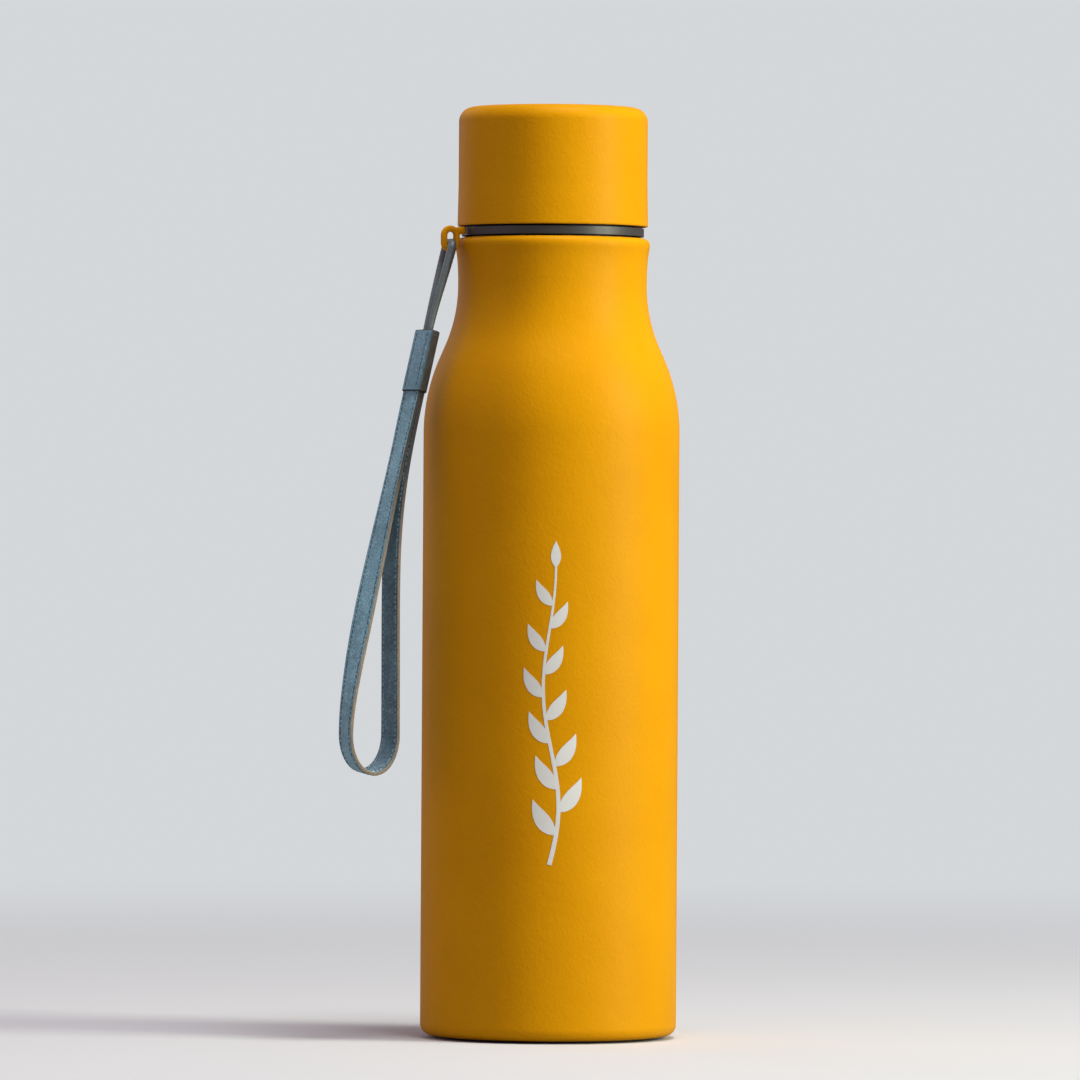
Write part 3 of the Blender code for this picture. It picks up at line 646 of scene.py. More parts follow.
def build_shell(coat):
    bead = arc((LIP_RADIUS - LIP_ROUND, LIP_TOP - LIP_ROUND), LIP_ROUND, 90.0, 0.0, 10)
    foot = LIP_TOP - LIP_FOOT
    under = interpolate_bezier((LIP_RADIUS, LIP_TOP - LIP_BAND), (LIP_RADIUS - LIP_LEAN, foot),
                               (NECK_RADIUS + NECK_FLARE[0], foot - NECK_FLARE[1]),
                               (NECK_RADIUS, foot - NECK_REACH), 14)
    outside = [(LIP_HOLE_RADIUS, LIP_TOP)] + bead + under
    outside += shoulder(NECK_RADIUS, BODY_RADIUS, SHOULDER_FOOT, 0.0)
    corner = (BODY_RADIUS - BASE_CORNER, SHELL_LOW.z + BASE_CORNER)
    outside += arc(corner, BASE_CORNER, 0.0, -90.0, 10)
    outside += [(SHELL_HEM_RADIUS, SHELL_LOW.z)]
    inside = [(SHELL_HEM_RADIUS, SHELL_LOW.z + SHELL_WALL)]
    inside += arc(corner, BASE_CORNER - SHELL_WALL, -90.0, 0.0, 4)
    inside += reversed(shoulder(NECK_RADIUS, BODY_RADIUS, SHOULDER_FOOT, SHELL_WALL, 6))
    inside += [(radius, LIP_TOP - SHELL_WALL)
               for radius in (NECK_RADIUS - SHELL_WALL, LIP_HOLE_RADIUS)]
    piece = lathe("shell_powder_coated", outside + inside, True, coat)
    place(piece, "root", "yellow_coat", "outer_shell")


def thread_change(wall_radius, outward):
    """How far a threaded wall's points move at each angle and height."""
    def change(radius, angle, height):
        if abs(radius - wall_radius) > NEAR or not THREAD_LOW < height < THREAD_HIGH:
            return 0.0
        wave = 0.5 - 0.5 * math.cos(math.tau * height / THREAD_PITCH - angle)
        fade = smooth_step(min(height - THREAD_LOW, THREAD_HIGH - height) / THREAD_FADE)
        return THREAD_DEPTH * fade * (wave if outward else wave - 1.0)
    return change


def thread_rows(radius):
    return [(radius, THREAD_LOW + (THREAD_HIGH - THREAD_LOW) * row / THREAD_ROWS)
            for row in range(THREAD_ROWS + 1)]


def build_liner(steel, dark):
    inner = LINER_NECK_RADIUS - LINER_WALL
    mouth = arc((inner + LINER_RIM, LINER_HIGH.z - LINER_RIM), LINER_RIM, 180.0, 0.0, 8)
    outside = [(LINER_NECK_RADIUS, THREAD_HIGH + THREAD_MARGIN)]
    outside += reversed(thread_rows(LINER_NECK_RADIUS))
    outside += shoulder(LINER_NECK_RADIUS, LINER_HIGH.x, LINER_SHOULDER_FOOT, 0.0, 6)
    outside += [(LINER_HIGH.x, LINER_LOW.z)]
    inside = [(LINER_HIGH.x - LINER_WALL, LINER_LOW.z)]
    inside += reversed(shoulder(LINER_NECK_RADIUS, LINER_HIGH.x, LINER_SHOULDER_FOOT,
                                LINER_WALL, 6))
    piece = lathe("liner_with_thread", mouth + outside + inside, True, steel, THREAD_FLATS,
                  thread_change(LINER_NECK_RADIUS, True))
    # The neck below its thread gets the near-black painted shade, standing in for the shade in the
    # gaps by the collar.
    piece.data.materials.append(dark)
    for polygon in piece.data.polygons:
        x, y, height = polygon.center
        if math.hypot(x, y) > LINER_NECK_RADIUS - NEAR and NECK_SHADE_LOW < height < THREAD_LOW:
            polygon.material_index = 1
    place(piece, "root", "liner_steel", "inner_liner")


def build_base(steel, pad):
    bend = (BASE_RADIUS - BASE_BEND, BASE_TOP - BASE_BEND)
    rim_bottom = SHELL_LOW.z + BASE_RIM_LIFT
    outline = [(EVACUATION_HOLE, BASE_TOP)] + arc(bend, BASE_BEND, 90.0, 0.0, 8)
    outline += [(BASE_RADIUS, rim_bottom), (BASE_RADIUS - BASE_WALL, rim_bottom)]
    outline += arc(bend, BASE_BEND - BASE_WALL, 0.0, 90.0, 8)
    outline += [(EVACUATION_HOLE, BASE_TOP - BASE_WALL)]
    place(lathe("base_cup", outline, True, steel), "root", "base_steel", "outer_base")
    edge = PAD_HIGH.x
    outline = [(0.0, PAD_RECESS[1]), PAD_RECESS, (PAD_RECESS[0], PAD_HIGH.z)]
    outline += arc(bend, edge - bend[0], 90.0, 0.0, 8)
    outline += arc((edge - PAD_CORNER, PAD_CORNER), PAD_CORNER, 0.0, -90.0, 5)[:-1]
    outline += [(edge - PAD_CORNER, 0.0)]
    for groove in PAD_GROOVES:
        outline += [(groove + PAD_GROOVE_HALF * side, PAD_GROOVE_DEPTH * deep)
                    for side, deep in ((1.0, 0.0), (0.5, 1.0), (-0.5, 1.0), (-1.0, 0.0))]
    outline += [(0.0, 0.0)]
    place(lathe("base_pad_grooved", outline, False, pad), "root", "pad_silicone", "base_pad")


# ---- cap

def build_cap(coat, plastic):
    corner = (CAP_RADIUS - CAP_CORNER, CAP_HIGH.z - CAP_CORNER)
    hem = (CAP_SKIRT_RADIUS - CAP_HEM, CAP_LOW.z + CAP_HEM)
    outline = [(0.0, CAP_HIGH.z)] + arc(corner, CAP_CORNER, 90.0, 0.0, 16)
    outline += [(CAP_RADIUS, CAP_SKIRT_TAPER)] + arc(hem, CAP_HEM, 0.0, -180.0, 12)
    outline += [(CAP_RADIUS - CAP_WALL, CAP_SKIRT_TAPER)]
    outline += arc(corner, CAP_CORNER - CAP_WALL, 0.0, 90.0, 8)
    outline += [(0.0, CAP_HIGH.z - CAP_WALL)]
    place(lathe("cap_powder_coated", outline, False, coat), "cap", "yellow_coat", "cap_cover")
    groove = LINER_NECK_RADIUS + THREAD_CLEARANCE + THREAD_DEPTH
    hollow = PLUG_RADIUS - PLUG_WALL
    floor = PLUG_BOTTOM + PLUG_WALL
    plug = (PLUG_RADIUS - PLUG_CORNER, PLUG_BOTTOM + PLUG_CORNER)
    outline = [(0.0, floor), (hollow - PLUG_CORNER, floor), (hollow, floor + PLUG_CORNER),
               (hollow, INSERT_TOP), (INSERT_RADIUS, INSERT_TOP),
               (INSERT_RADIUS, INSERT_BOTTOM), (groove + INSERT_LEAD, INSERT_BOTTOM)]
    outline += thread_rows(groove)
    outline += [(groove, INSERT_CEILING), (PLUG_RADIUS, INSERT_CEILING)]
    outline += arc(plug, PLUG_CORNER, 0.0, -90.0, 6) + [(0.0, PLUG_BOTTOM)]
    piece = lathe("insert_with_thread", outline, False, plastic, THREAD_FLATS,
                  thread_change(groove, False))
    place(piece, "cap", "insert_plastic", "cap_insert")


# ---- collar and eye

def build_collar(plastic):
    top, bottom = COLLAR_HIGH.z, COLLAR_LOW.z
    edge = COLLAR_HIGH.x - COLLAR_INSET - COLLAR_EDGE
    outline = [(COLLAR_INNER, top)]
    outline += arc((edge, top - COLLAR_EDGE), COLLAR_EDGE, 90.0, 0.0, 5)
    outline += arc((edge, bottom + COLLAR_EDGE), COLLAR_EDGE, 0.0, -90.0, 5)
    outline += [(COLLAR_INNER, bottom)]
    place(lathe("collar_satin", outline, True, plastic), "collar", "collar_plastic",
          "collar_ring")


def soft_block(place_at, directions, size, power, steps=24):
    """A rounded block from a superellipsoid; power 1 is an egg, less is squarer."""
    rings = []
    for row in range(1, steps):
        tilt = math.pi * row / steps
        ring = []
        for column in range(2 * steps):
            turn = math.pi * column / steps
            parts = (math.cos(tilt), math.sin(tilt) * math.cos(turn),
                     math.sin(tilt) * math.sin(turn))
            shift = [math.copysign(abs(part) ** power, part) * half
                     for part, half in zip(parts, size)]
            ring.append(place_at + sum((way * far for way, far in zip(directions, shift)),
                                       Vector()))
        rings.append(ring)
    return rings


def build_eye(finish):
    """A flattened loop held by a thick rounded root that sits in the collar's pocket."""
    rings = []
    for step in range(EYE_STEPS):
        angle = math.tau * (step + 0.5) / EYE_STEPS
        ray = EYE_OUT * math.cos(angle) + UP * math.sin(angle)
        middle = EYE_PIVOT + ray * EYE_RADIUS + UP * (EYE_RISE if step < EYE_STEPS / 2 else 0.0)
        ring = []
        for side in range(EYE_SIDES):
            turn = math.tau * side / EYE_SIDES
            flat = [math.copysign(abs(part) ** EYE_SQUARENESS, part)
                    for part in (math.cos(turn), math.sin(turn))]
            ring.append(middle + ray * EYE_BAND_HALF * flat[0]
                        + EYE_ACROSS * EYE_DEPTH_HALF * flat[1])
        rings.append(ring)
    loop = add_tubes("eye_loop", [rings], True, finish)
    place(loop, "collar", "eye_plastic", "strap_eye")
    half_length = BOSS_SIZE[0] / 2
    middle = EYE_OUT * (BOSS_PLACE[0] + half_length) + UP * BOSS_PLACE[1]
    rings = soft_block(middle, (EYE_OUT, EYE_ACROSS, UP),
                       (half_length, BOSS_SIZE[1], BOSS_SIZE[2]), BOSS_SQUARENESS)
    root = add_tubes("eye_root", [rings], False, finish)
    place(root, "collar", "eye_plastic")


# ---- cord

def cord_side(side):
    """One strand's middle line, from the top of the eye down into the keeper."""
    pull = (KEEPER_PIVOT - EYE_PIVOT).normalized()
    across = EYE_ACROSS * side
    flat = CORD_SPREAD - CORD_BEND
    line = [EYE_PIVOT + across * flat * step / 3 for step in range(4)]
    for step in range(1, 9):
        angle = math.radians(11.25 * step)
        line.append(EYE_PIVOT
                    + pull * CORD_BEND * (1.0 - math.cos(angle))
                    + across * (flat + CORD_BEND * math.sin(angle)))
    start = line[-1]
    end = KEEPER_PIVOT + STRAP_ACROSS * side * CORD_CLOSE
    last = end + KEEPER_AXIS * CORD_TUCK
    line += interpolate_bezier(start, start + pull * CORD_PULLS[0],
                               end - KEEPER_AXIS * CORD_PULLS[1], end, 40)[1:]
    line += [end.lerp(last, step / 4) for step in range(1, 5)]
    return line


def evenly(points, count):
    """The same line with points at even distances."""
    lengths = [0.0]
    for start, end in zip(points, points[1:]):
        lengths.append(lengths[-1] + (end - start).length)
    result, index = [], 0
    for step in range(count):
        wanted = lengths[-1] * step / (count - 1)
        while index < len(points) - 2 and lengths[index + 1] < wanted:
            index += 1
        span = lengths[index + 1] - lengths[index]
        share = (wanted - lengths[index]) / span if span else 0.0
        result.append(points[index].lerp(points[index + 1], share))
    return result, lengths[-1]


def runs_along(points):
    """The way a line runs at each of its points."""
    before = points[:1] + points[:-1]
    after = points[1:] + points[-1:]
    return [(end - start).normalized() for start, end in zip(before, after)]


def carried_frames(points, start_side):
    """A steady pair of directions across a line, carried along without twisting."""
    frames = []
    side = start_side
    for point, run in zip(points, runs_along(points)):
        side = (side - run * side.dot(run)).normalized()
        frames.append((point, side, run.cross(side)))
    return frames


def cord_radius(down):
    """Half the cord's thickness this far below the eye's pivot."""
    share = min(1.0, down / (EYE_PIVOT - KEEPER_PIVOT).dot(UP))
    strand = CORD_RADIUS + (CORD_END_RADIUS - CORD_RADIUS) * share
    squeezed = CORD_EYE_RADIUS + (CORD_RADIUS - CORD_EYE_RADIUS) * down / CORD_BEND
    return min(strand, max(squeezed, CORD_EYE_RADIUS))


def build_cord(braid):
    line = list(reversed(cord_side(-1))) + cord_side(1)[1:]
    points, length = evenly(line, BRAID_STEPS)
    rings = []
    for index, (point, side, other) in enumerate(carried_frames(points, STRAP_OUT)):
        along = length * index / (len(points) - 1)
        ring = []
        middle_radius = cord_radius((EYE_PIVOT - point).dot(UP))
        turn = math.tau * along / BRAID_LAY
        for step in range(CORD_SIDES):
            angle = math.tau * step / CORD_SIDES
            over = math.sin(4 * angle + turn) * math.sin(4 * angle - turn)
            radius = middle_radius * (1.0 + BRAID_RELIEF * over)
            ring.append(point + (side * math.cos(angle) + other * math.sin(angle)) * radius)
        rings.append(ring)
    cord = add_tubes("cord_braided", [rings], False, braid)
    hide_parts("strap_cord")
    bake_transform(cord)


# ---- keeper and strap

def rounded_outline(width, thickness, corner, steps=8, runs=18):
    """Points round a flat sleeve with round corners, close enough to press seams into."""
    corners = []
    for quarter, (across, up) in enumerate(((1, 1), (-1, 1), (-1, -1), (1, -1))):
        centre = (across * (width / 2 - corner), up * (thickness / 2 - corner))
        corners.append(arc(centre, corner, 90.0 * quarter, 90.0 * (quarter + 1), steps))
    points = []
    for near, far in zip(corners, corners[1:] + corners[:1]):
        points += near
        points += [tuple(start + (end - start) * step / runs
                         for start, end in zip(near[-1], far[0]))
                   for step in range(1, runs)]
    return points


def seam_dip(across, seams):
    """How far a face sinks next to its stitch lines."""
    return sum(SEAM_DEPTH * math.exp(-((across - seam) / SEAM_WIDTH) ** 2) for seam in seams)


def keeper_ring(outline, seams, depth, inset):
    """One ring of the keeper's outside, drawn in by inset near its rolled ends."""
    centre = KEEPER_START + KEEPER_AXIS * depth
    ring = []
    for x, y in outline:
        flatness = min(1.0, abs(y) / (KEEPER_THICKNESS / 2)) ** 6
        fall = KEEPER_SWELL * (2.0 * x / KEEPER_WIDTH) ** 2 + seam_dip(x, seams)
        lift = -fall * flatness
        narrow = 1.0 - inset / (KEEPER_WIDTH / 2)
        thin = 1.0 - inset / (KEEPER_THICKNESS / 2)
        ring.append(centre + STRAP_ACROSS * x * narrow
                    + KEEPER_FACE * (y * thin + math.copysign(1.0, y) * lift))
    return ring


def build_keeper(leather_skin, dark):
    """A sleeve of folded leather with swollen faces and rolled ends; its ends and inside get the
    second finish as painted shade.
    """
    outline = rounded_outline(KEEPER_WIDTH, KEEPER_THICKNESS, KEEPER_CORNER)
    reach = KEEPER_WIDTH / 2 - KEEPER_STITCH_INSET
    seams = (-reach, reach)
    rolled = [(KEEPER_ROLL * (1.0 - math.cos(math.radians(turn))),
               KEEPER_ROLL * (1.0 - math.sin(math.radians(turn)))) for turn in range(0, 91, 15)]
    straight = [(KEEPER_ROLL + (KEEPER_LENGTH - 2 * KEEPER_ROLL) * step / 24, 0.0)
                for step in range(1, 24)]
    depths = rolled + straight + [(KEEPER_LENGTH - depth, inset)
                                  for depth, inset in reversed(rolled)]
    rings = [keeper_ring(outline, seams, depth, inset) for depth, inset in depths]
    inner = rounded_outline(KEEPER_WIDTH - 2 * KEEPER_WALL, KEEPER_THICKNESS - 2 * KEEPER_WALL,
                            KEEPER_LINING_CORNER)
    for depth in (KEEPER_LENGTH, KEEPER_LENGTH - KEEPER_LINING_ROW, KEEPER_LINING_ROW, 0.0):
        centre = KEEPER_START + KEEPER_AXIS * depth
        rings.append([centre + STRAP_ACROSS * x + KEEPER_FACE * y for x, y in inner])
    piece = add_tubes("keeper_folded_leather", [rings], True, leather_skin, dark)
    # Painted shade: the rolled ends and the inside take the near-black second finish.
    outer_points = len(outline) * len(depths)
    for polygon in piece.data.polygons:
        depth = (polygon.center - KEEPER_START).dot(KEEPER_AXIS)
        at_end = depth < KEEPER_ROLL * 0.8 or depth > KEEPER_LENGTH - KEEPER_ROLL * 0.8
        if at_end or max(polygon.vertices) >= outer_points:
            polygon.material_index = 1
    place(piece, "wrist_strap", "strap_face", "keeper_sleeve")
    return seams


def strap_point(out, down):
    """A place this far out from the keeper's foot and this far below it."""
    return KEEPER_FOOT + STRAP_OUT * out - UP * down


def strap_line():
    """The strap's middle line: down the outer leg, round the end, up the inner leg."""
    half_gap = STRAP_HALF + STRAP_GAP_HALF
    outer_top = KEEPER_FOOT + KEEPER_FACE * half_gap
    inner_top = KEEPER_FOOT - KEEPER_FACE * half_gap
    outer_end = strap_point(LOOP_OUT + LOOP_RADIUS, LOOP_DROP)
    inner_end = strap_point(LOOP_OUT - LOOP_RADIUS, LOOP_DROP)
    line = [outer_top - KEEPER_AXIS * STRAP_TUCK * share for share in (1.0, 0.6, 0.3)]
    line += interpolate_bezier(outer_top, outer_top + KEEPER_AXIS * OUTER_REACH[0],
                               outer_end + UP * OUTER_REACH[1], outer_end, 90)
    for step in range(1, 40):
        angle = math.pi * step / 40
        line.append(strap_point(LOOP_OUT + LOOP_RADIUS * math.cos(angle),
                                LOOP_DROP + LOOP_DEPTH * math.sin(angle)))
    line += interpolate_bezier(inner_end, inner_end + UP * INNER_REACH[1],
                               inner_top + KEEPER_AXIS * INNER_REACH[0], inner_top, 90)
    line += [inner_top - KEEPER_AXIS * STRAP_TUCK * share for share in (0.3, 0.6, 1.0)]
    return evenly(line, STRAP_STEPS)


def strap_twist(share):
    """The strap's turn about its own line, eased between the listed places."""
    for (start, low), (end, high) in zip(STRAP_TWISTS, STRAP_TWISTS[1:]):
        if share <= end:
            part = smooth_step((share - start) / (end - start))
            return math.radians(low + (high - low) * part)
    return 0.0


def strap_frames():
    points, length = strap_line()
    frames = []
    for index, (point, run) in enumerate(zip(points, runs_along(points))):
        across = Matrix.Rotation(strap_twist(index / (len(points) - 1)), 3, run) @ STRAP_ACROSS
        frames.append((point, across, across.cross(run)))
    return frames, length


def band_section(thickness, steps=22):
    """Half the outline of one leather layer, edge to edge, with its seams pressed in."""
    seams = (-STRAP_WIDTH / 2 + STITCH_INSET, STRAP_WIDTH / 2 - STITCH_INSET)
    edge = STRAP_WIDTH / 2 - STRAP_EDGE_ROUND
    points = arc((edge, thickness - STRAP_EDGE_ROUND), STRAP_EDGE_ROUND, 0.0, 60.0, 2)
    for step in range(steps + 1):
        across = edge * (1 - 2 * step / steps)
        crown = STRAP_CROWN * (1 - (2 * across / STRAP_WIDTH) ** 2)
        points.append((across, thickness + crown - seam_dip(across, seams)))
    points += [(-x, y) for x, y in reversed(points[:3])]
    return points


def build_layer(name, direction, finish, edge, slot, node):
    """One layer of the strap; direction 1 is the outer layer and -1 the lining."""
    frames = strap_frames()[0]
    section = band_section(STRAP_HALF)
    outline = [(STRAP_WIDTH / 2, LAYER_GAP_HALF), *section, (-STRAP_WIDTH / 2, LAYER_GAP_HALF)]
    rings = []
    for point, across, outward in frames:
        rings.append([point + across * x + outward * y * direction for x, y in outline])
    piece = add_tubes(name, [rings], False, finish, edge)
    count = len(outline)
    edge_columns = {0, 1, 2, count - 4, count - 3, count - 2, count - 1}
    for polygon in piece.data.polygons:
        columns = sorted({vertex % count for vertex in polygon.vertices})
        is_underside = columns == [0, count - 1]
        if len(columns) == 2 and columns[0] in edge_columns and not is_underside:
            polygon.material_index = 1
    place(piece, "wrist_strap", slot, node)


def capsule(start, end, bow, radius, sides=8):
    """One bowed stitch between two holes, its ends going down into the leather."""
    line = []
    for step in range(9):
        share = step / 8
        rise = math.sin(math.pi * share) ** 0.5
        line.append(start.lerp(end, share) + bow * (rise - 0.55))
    run = (end - start).normalized()
    side = run.cross(bow).normalized()
    up = bow.normalized()
    rings = []
    for index, point in enumerate(line):
        slim = 0.55 if index in (0, 8) else 1.0
        rings.append([point + (side * math.cos(math.tau * turn / sides)
                               + up * math.sin(math.tau * turn / sides)) * radius * slim
                      for turn in range(sides)])
    return rings


def add_stitches(name, spans, finish, slot):
    """Joins many stitches, given as (start, end, bow), into one piece of thread."""
    stitches = [capsule(*span, STITCH_RADIUS) for span in spans]
    place(add_tubes(name, stitches, False, finish), "wrist_strap", slot)


def strap_spans(direction, rng):
    """Where the stitches lie on one face of the strap."""
    frames, length = strap_frames()
    lift = STRAP_HALF - STITCH_SINK
    spans = []
    count = int((length - 2 * STRAP_TUCK) / STITCH_STEP)
    for side in (-1, 1):
        inset = side * (STRAP_WIDTH / 2 - STITCH_INSET)
        for stitch in range(count):
            low = STRAP_TUCK + stitch * STITCH_STEP + STITCH_START
            ends = []
            for along in (low, low + STITCH_LENGTH):
                wobble = rng.uniform(-1.0, 1.0) * STITCH_WOBBLE
                point, across, outward = frames[round(along / length * (len(frames) - 1))]
                ends.append(point + across * (inset + wobble) + outward * lift * direction)
            middle = frames[round((low + STITCH_LENGTH / 2) / length * (len(frames) - 1))]
            spans.append((*ends, middle[2] * direction * STITCH_BOW))
    return spans


def keeper_spans(seams, rng):
    spans = []
    count = int((KEEPER_LENGTH - 2 * KEEPER_STITCH_MARGIN) / STITCH_STEP)
    for direction in (1, -1):
        lift = KEEPER_FACE * direction * (KEEPER_THICKNESS / 2 - KEEPER_STITCH_SINK)
        for across in seams:
            for stitch in range(count):
                low = KEEPER_STITCH_MARGIN + stitch * STITCH_STEP
                wobble = STRAP_ACROSS * rng.uniform(-1.0, 1.0) * KEEPER_STITCH_WOBBLE
                start = KEEPER_START + STRAP_ACROSS * across + KEEPER_AXIS * low + lift
                end = start + KEEPER_AXIS * STITCH_LENGTH + wobble
                spans.append((start, end, KEEPER_FACE * direction * KEEPER_STITCH_BOW))
    return spans


def build_stitching(seams, dark, pale):
    rng = random.Random(7)
    add_stitches("strap_stitches_outside", strap_spans(1, rng), dark, "strap_face")
    add_stitches("strap_stitches_inside", strap_spans(-1, rng), pale, "strap_lining")
    add_stitches("keeper_stitches", keeper_spans(seams, rng), dark, "strap_face")


# ---- printed sprig

def on_front(across, height, lift):
    """A place on the body's front, across measured round the surface."""
    radius = BODY_RADIUS + lift
    angle = across / BODY_RADIUS
    return Vector((radius * math.sin(angle), -radius * math.cos(angle), height))


def stem(share):
    """The stem's middle line as (across, height), share 0 at the foot and 1 at the tip."""
    sway = STEM_SWAY * math.sin(math.tau * STEM_WAVES * share) * (1 - 0.5 * share)
    return sway, SPRIG_LOW + (SPRIG_HIGH - SPRIG_LOW) * share


def ribbon(points, widths):
    """A thin raised band of ink along (across, height) points."""
    rings = []
    for (across, height), run, width in zip(points, runs_along(list(map(Vector, points))),
                                            widths):
        side = Vector((run.y, -run.x)) * width
        rings.append([on_front(across + side.x * share, height + side.y * share,
                               INK_LIFT + INK_THICKNESS * thick)
                      for share, thick in ((-1, 0.0), (-1, 0.6), (0, 1.0), (1, 0.6), (1, 0.0),
                                           (0, 0.0))])
    return rings


def leaf(root, angle, length, width, steps=24):
    """A pointed leaf as one ribbon that swells and closes, bent towards the tip."""
    points, widths = [], []
    for step in range(steps + 1):
        share = step / steps
        lean = angle * (1 - 0.35 * share)
        points.append((root[0] + length * share * math.sin(lean),
                       root[1] + length * share * math.cos(lean)))
        widths.append(width * math.sin(math.pi * share ** 0.8) + 0.02 * MM)
    return points, widths


def build_sprig(ink):
    shares = [step / STEM_STEPS for step in range(STEM_STEPS + 1)]
    foot, tip = STEM_HALF
    bands = [([stem(share) for share in shares], [foot + (tip - foot) * share for share in shares])]
    for index in range(LEAVES):
        share = LEAF_FIRST + LEAF_STEP * index
        side = 1 if index % 2 else -1
        length, width = (part * (1.0 - 0.35 * share) for part in LEAF_SIZE)
        bands.append(leaf(stem(share), side * LEAF_LEAN, length, width))
    bands.append(leaf(stem(0.985), 0.0, *TIP_LEAF_SIZE))
    ribbons = [ribbon(*band) for band in bands]
    place(add_tubes("printed_sprig", ribbons, False, ink), "root", "yellow_coat")


# ---- stage

def area_light(name, place_at, size, power, colour):
    light = bpy.data.lights.new(name, "AREA")
    light.shape = "RECTANGLE"
    light.size, light.size_y = size
    light.energy = power
    light.color = colour
    lamp = add_object(name, light)
    lamp.location = place_at
    lamp.rotation_euler = (LIGHTS_AIM - Vector(place_at)).to_track_quat("-Z", "Y").to_euler()


def floor_material():
    """Pale matt floor that fades into the backdrop's own tone far from the bottle."""
    look = Finish("floor_pale", 0.75)
    seen = look.seen()
    pale = look.mix(look.noise(3.0), (0.72, 0.73, 0.74), (0.75, 0.76, 0.77))
    look.colour(look.mix(seen, FLOOR_BOUNCE, pale))
    distance = look.node("ShaderNodeVectorMath", {"operation": "LENGTH"}, Vector=look.place)
    far = look.ramp(distance.outputs["Value"], FADE_START, FADE_END, kind="SMOOTHSTEP")
    glow = look.node("ShaderNodeEmission", Color=BACKDROP, Strength=1.0)
    look.finish_with("Material Output", look.math("MULTIPLY", far, seen), look.shader, glow)
    return look.material


def build_world():
    """A dim even room for the lighting and a pale backdrop for the camera."""
    world = bpy.data.worlds.new("studio")
    bpy.context.scene.world = world
    look = Nodes(world)
    room = look.node("ShaderNodeBackground", Color=ROOM, Strength=ROOM_STRENGTH)
    backdrop = look.node("ShaderNodeBackground", Color=BACKDROP)
    look.finish_with("World Output", look.seen(), room, backdrop)


def build_stage():
    corners = [(x * FLOOR_HALF, y * FLOOR_HALF, 0.0)
               for x, y in ((-1, -1), (1, -1), (1, 1), (-1, 1))]
    floor = add_mesh("floor", corners, [(0, 1, 2, 3)], floor_material())
    floor.location.z = -FLOOR_DROP
    build_world()
    area_light("key", (1.17, -0.44, 0.50), (0.42, 0.9), 16.6, (0.98, 1.02, 0.86))
    area_light("top", (0.24, -0.28, 1.5), (0.5, 0.5), 13.0, (1.0, 1.0, 1.0))
    area_light("fill", (-1.4, -0.6, 0.40), (1.5, 1.5), 2.6, (1.0, 0.82, 1.0))
    area_light("back", (-1.1, 1.2, 0.70), (1.2, 1.2), 3.0, (1.0, 0.90, 1.0))
    bpy.context.scene.view_settings.view_transform = "Standard"


def build_camera():
    data = bpy.data.cameras.new("camera")
    data.lens = CAMERA_LENS
    camera = add_object("camera", data)
    level = Matrix.Rotation(math.radians(90.0), 4, "X")
    roll = Matrix.Rotation(CAMERA_ROLL, 4, "Z")
    camera.matrix_world = (Matrix.Translation((-CAMERA_LEFT, -CAMERA_DISTANCE, CAMERA_HEIGHT))
                           @ level @ roll)
    bpy.context.scene.camera = camera


def finish_inner_nodes():
    """The pieces inside keep their CAD shape and get their own finish."""
    steel = spun_steel("inner_base_steel", (0.60, 0.59, 0.57), (0.50, 0.49, 0.47), 0.30)
    finishes = {
        "inner_base": steel,
        "reflective_foil": foil(),
        "vacuum_seal": rough_metal("seal_solder", (0.5, 0.5, 0.52), (0.36, 0.36, 0.38), 0.45),
        "getter_pellet": rough_metal("getter", (0.28, 0.28, 0.30), (0.18, 0.18, 0.2), 0.6),
        "cap_gasket": silicone("gasket_clear", (0.74, 0.74, 0.72), (0.66, 0.66, 0.64)),
        "cap_foam": insulation_foam(),
        "cord_crimp": rough_metal("crimp", (0.6, 0.6, 0.6), (0.48, 0.48, 0.48), 0.3),
    }
    for name, finish in finishes.items():
        node = frame["nodes"][name]
        node.data.materials.clear()
        node.data.materials.append(finish)


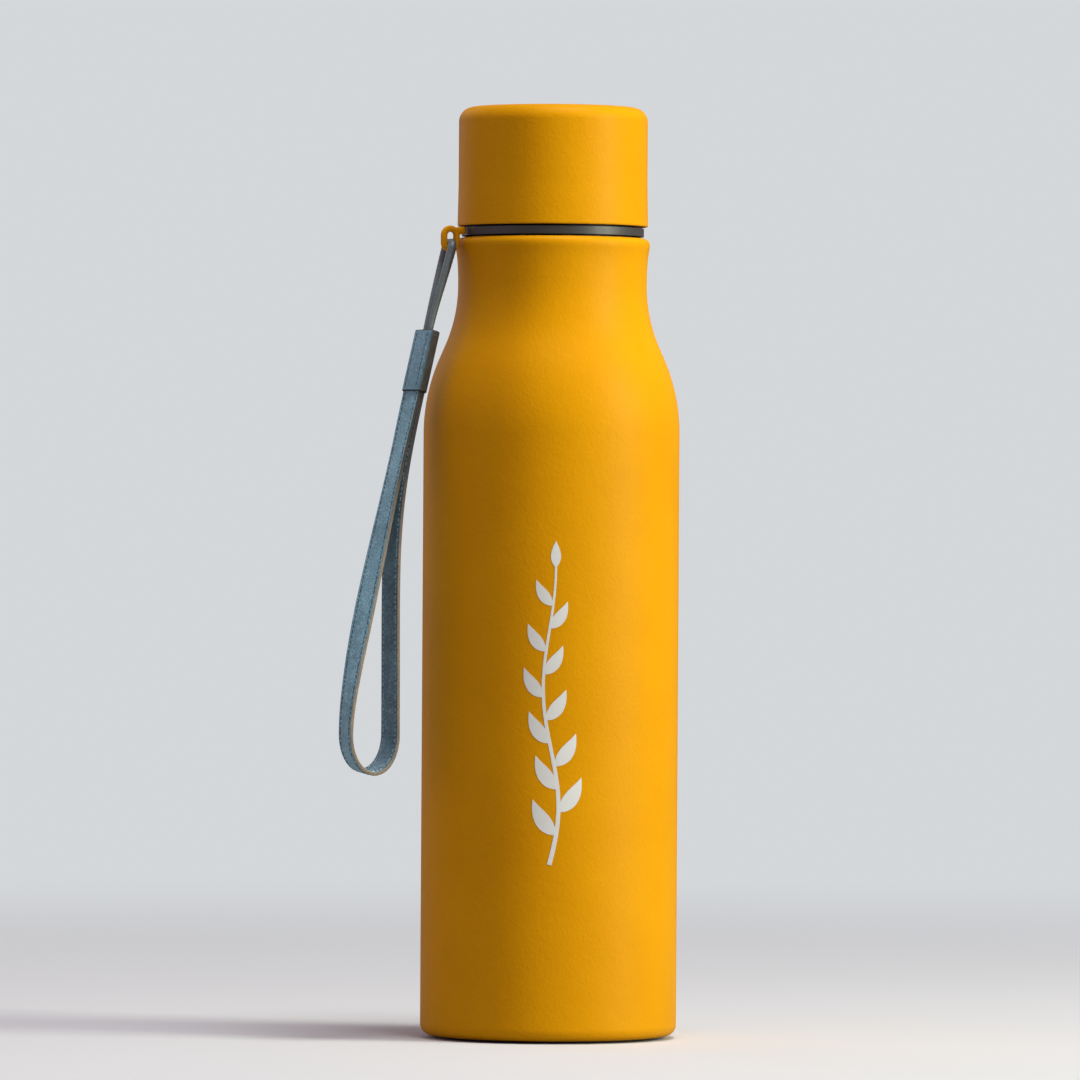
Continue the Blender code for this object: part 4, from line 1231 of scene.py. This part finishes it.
def build_all():
    coat = powder_coat("yellow_powder_coat", (0.80, 0.348, 0.001), (0.75, 0.316, 0.001))
    edge = raw_edge()
    face = leather("strap_blue_leather", (0.325, 0.665, 0.79), (0.175, 0.36, 0.435),
                   (0.48, 0.80, 0.90), 0.46, 1300.0)
    lining = leather("strap_dark_lining", (0.19, 0.36, 0.44), (0.08, 0.14, 0.19),
                     (0.34, 0.54, 0.61), 0.6, 1500.0)
    finish_inner_nodes()
    build_shell(coat)
    # The liner's second finish is a near-black painted shade for its neck below the thread.
    build_liner(spun_steel("liner_steel", (0.66, 0.65, 0.63), (0.56, 0.55, 0.53), 0.24),
                silicone("neck_painted_shade", (0.016, 0.015, 0.014), (0.010, 0.010, 0.010)))
    build_base(spun_steel("base_steel", (0.58, 0.57, 0.55), (0.47, 0.46, 0.45), 0.32),
               silicone("pad_silicone", (0.045, 0.045, 0.047), (0.03, 0.03, 0.032)))
    build_cap(coat, moulded_plastic("insert_plastic", (0.05, 0.05, 0.052),
                                    (0.035, 0.035, 0.038), 0.45))
    build_collar(collar_plastic())
    build_eye(powder_coat("eye_yellow", (0.90, 0.40, 0.004), (0.82, 0.34, 0.002)))
    build_cord(braided_cord())
    # The keeper's sides get a dark brown painted shade colour.
    folded = leather("keeper_leather", (0.25, 0.52, 0.64), (0.14, 0.28, 0.35),
                     (0.38, 0.65, 0.75), 0.46, 1300.0, (0.022, 0.016, 0.011))
    # Near-black painted shade for the keeper's ends and inside.
    dark = leather("keeper_painted_shade", (0.016, 0.013, 0.011), (0.009, 0.008, 0.007),
                   (0.03, 0.024, 0.02), 0.55, 1300.0)
    seams = build_keeper(folded, dark)
    build_layer("strap_outer_leather", 1, face, edge, "strap_face", "strap_outer")
    build_layer("strap_lining_leather", -1, lining, edge, "strap_lining", "strap_lining")
    build_stitching(seams, spun_thread("thread_slate", (0.06, 0.09, 0.11), (0.12, 0.17, 0.20)),
                    spun_thread("thread_pale", (0.62, 0.68, 0.70), (0.42, 0.48, 0.50)))
    build_sprig(white_ink())
    build_stage()
    build_camera()


build_all()
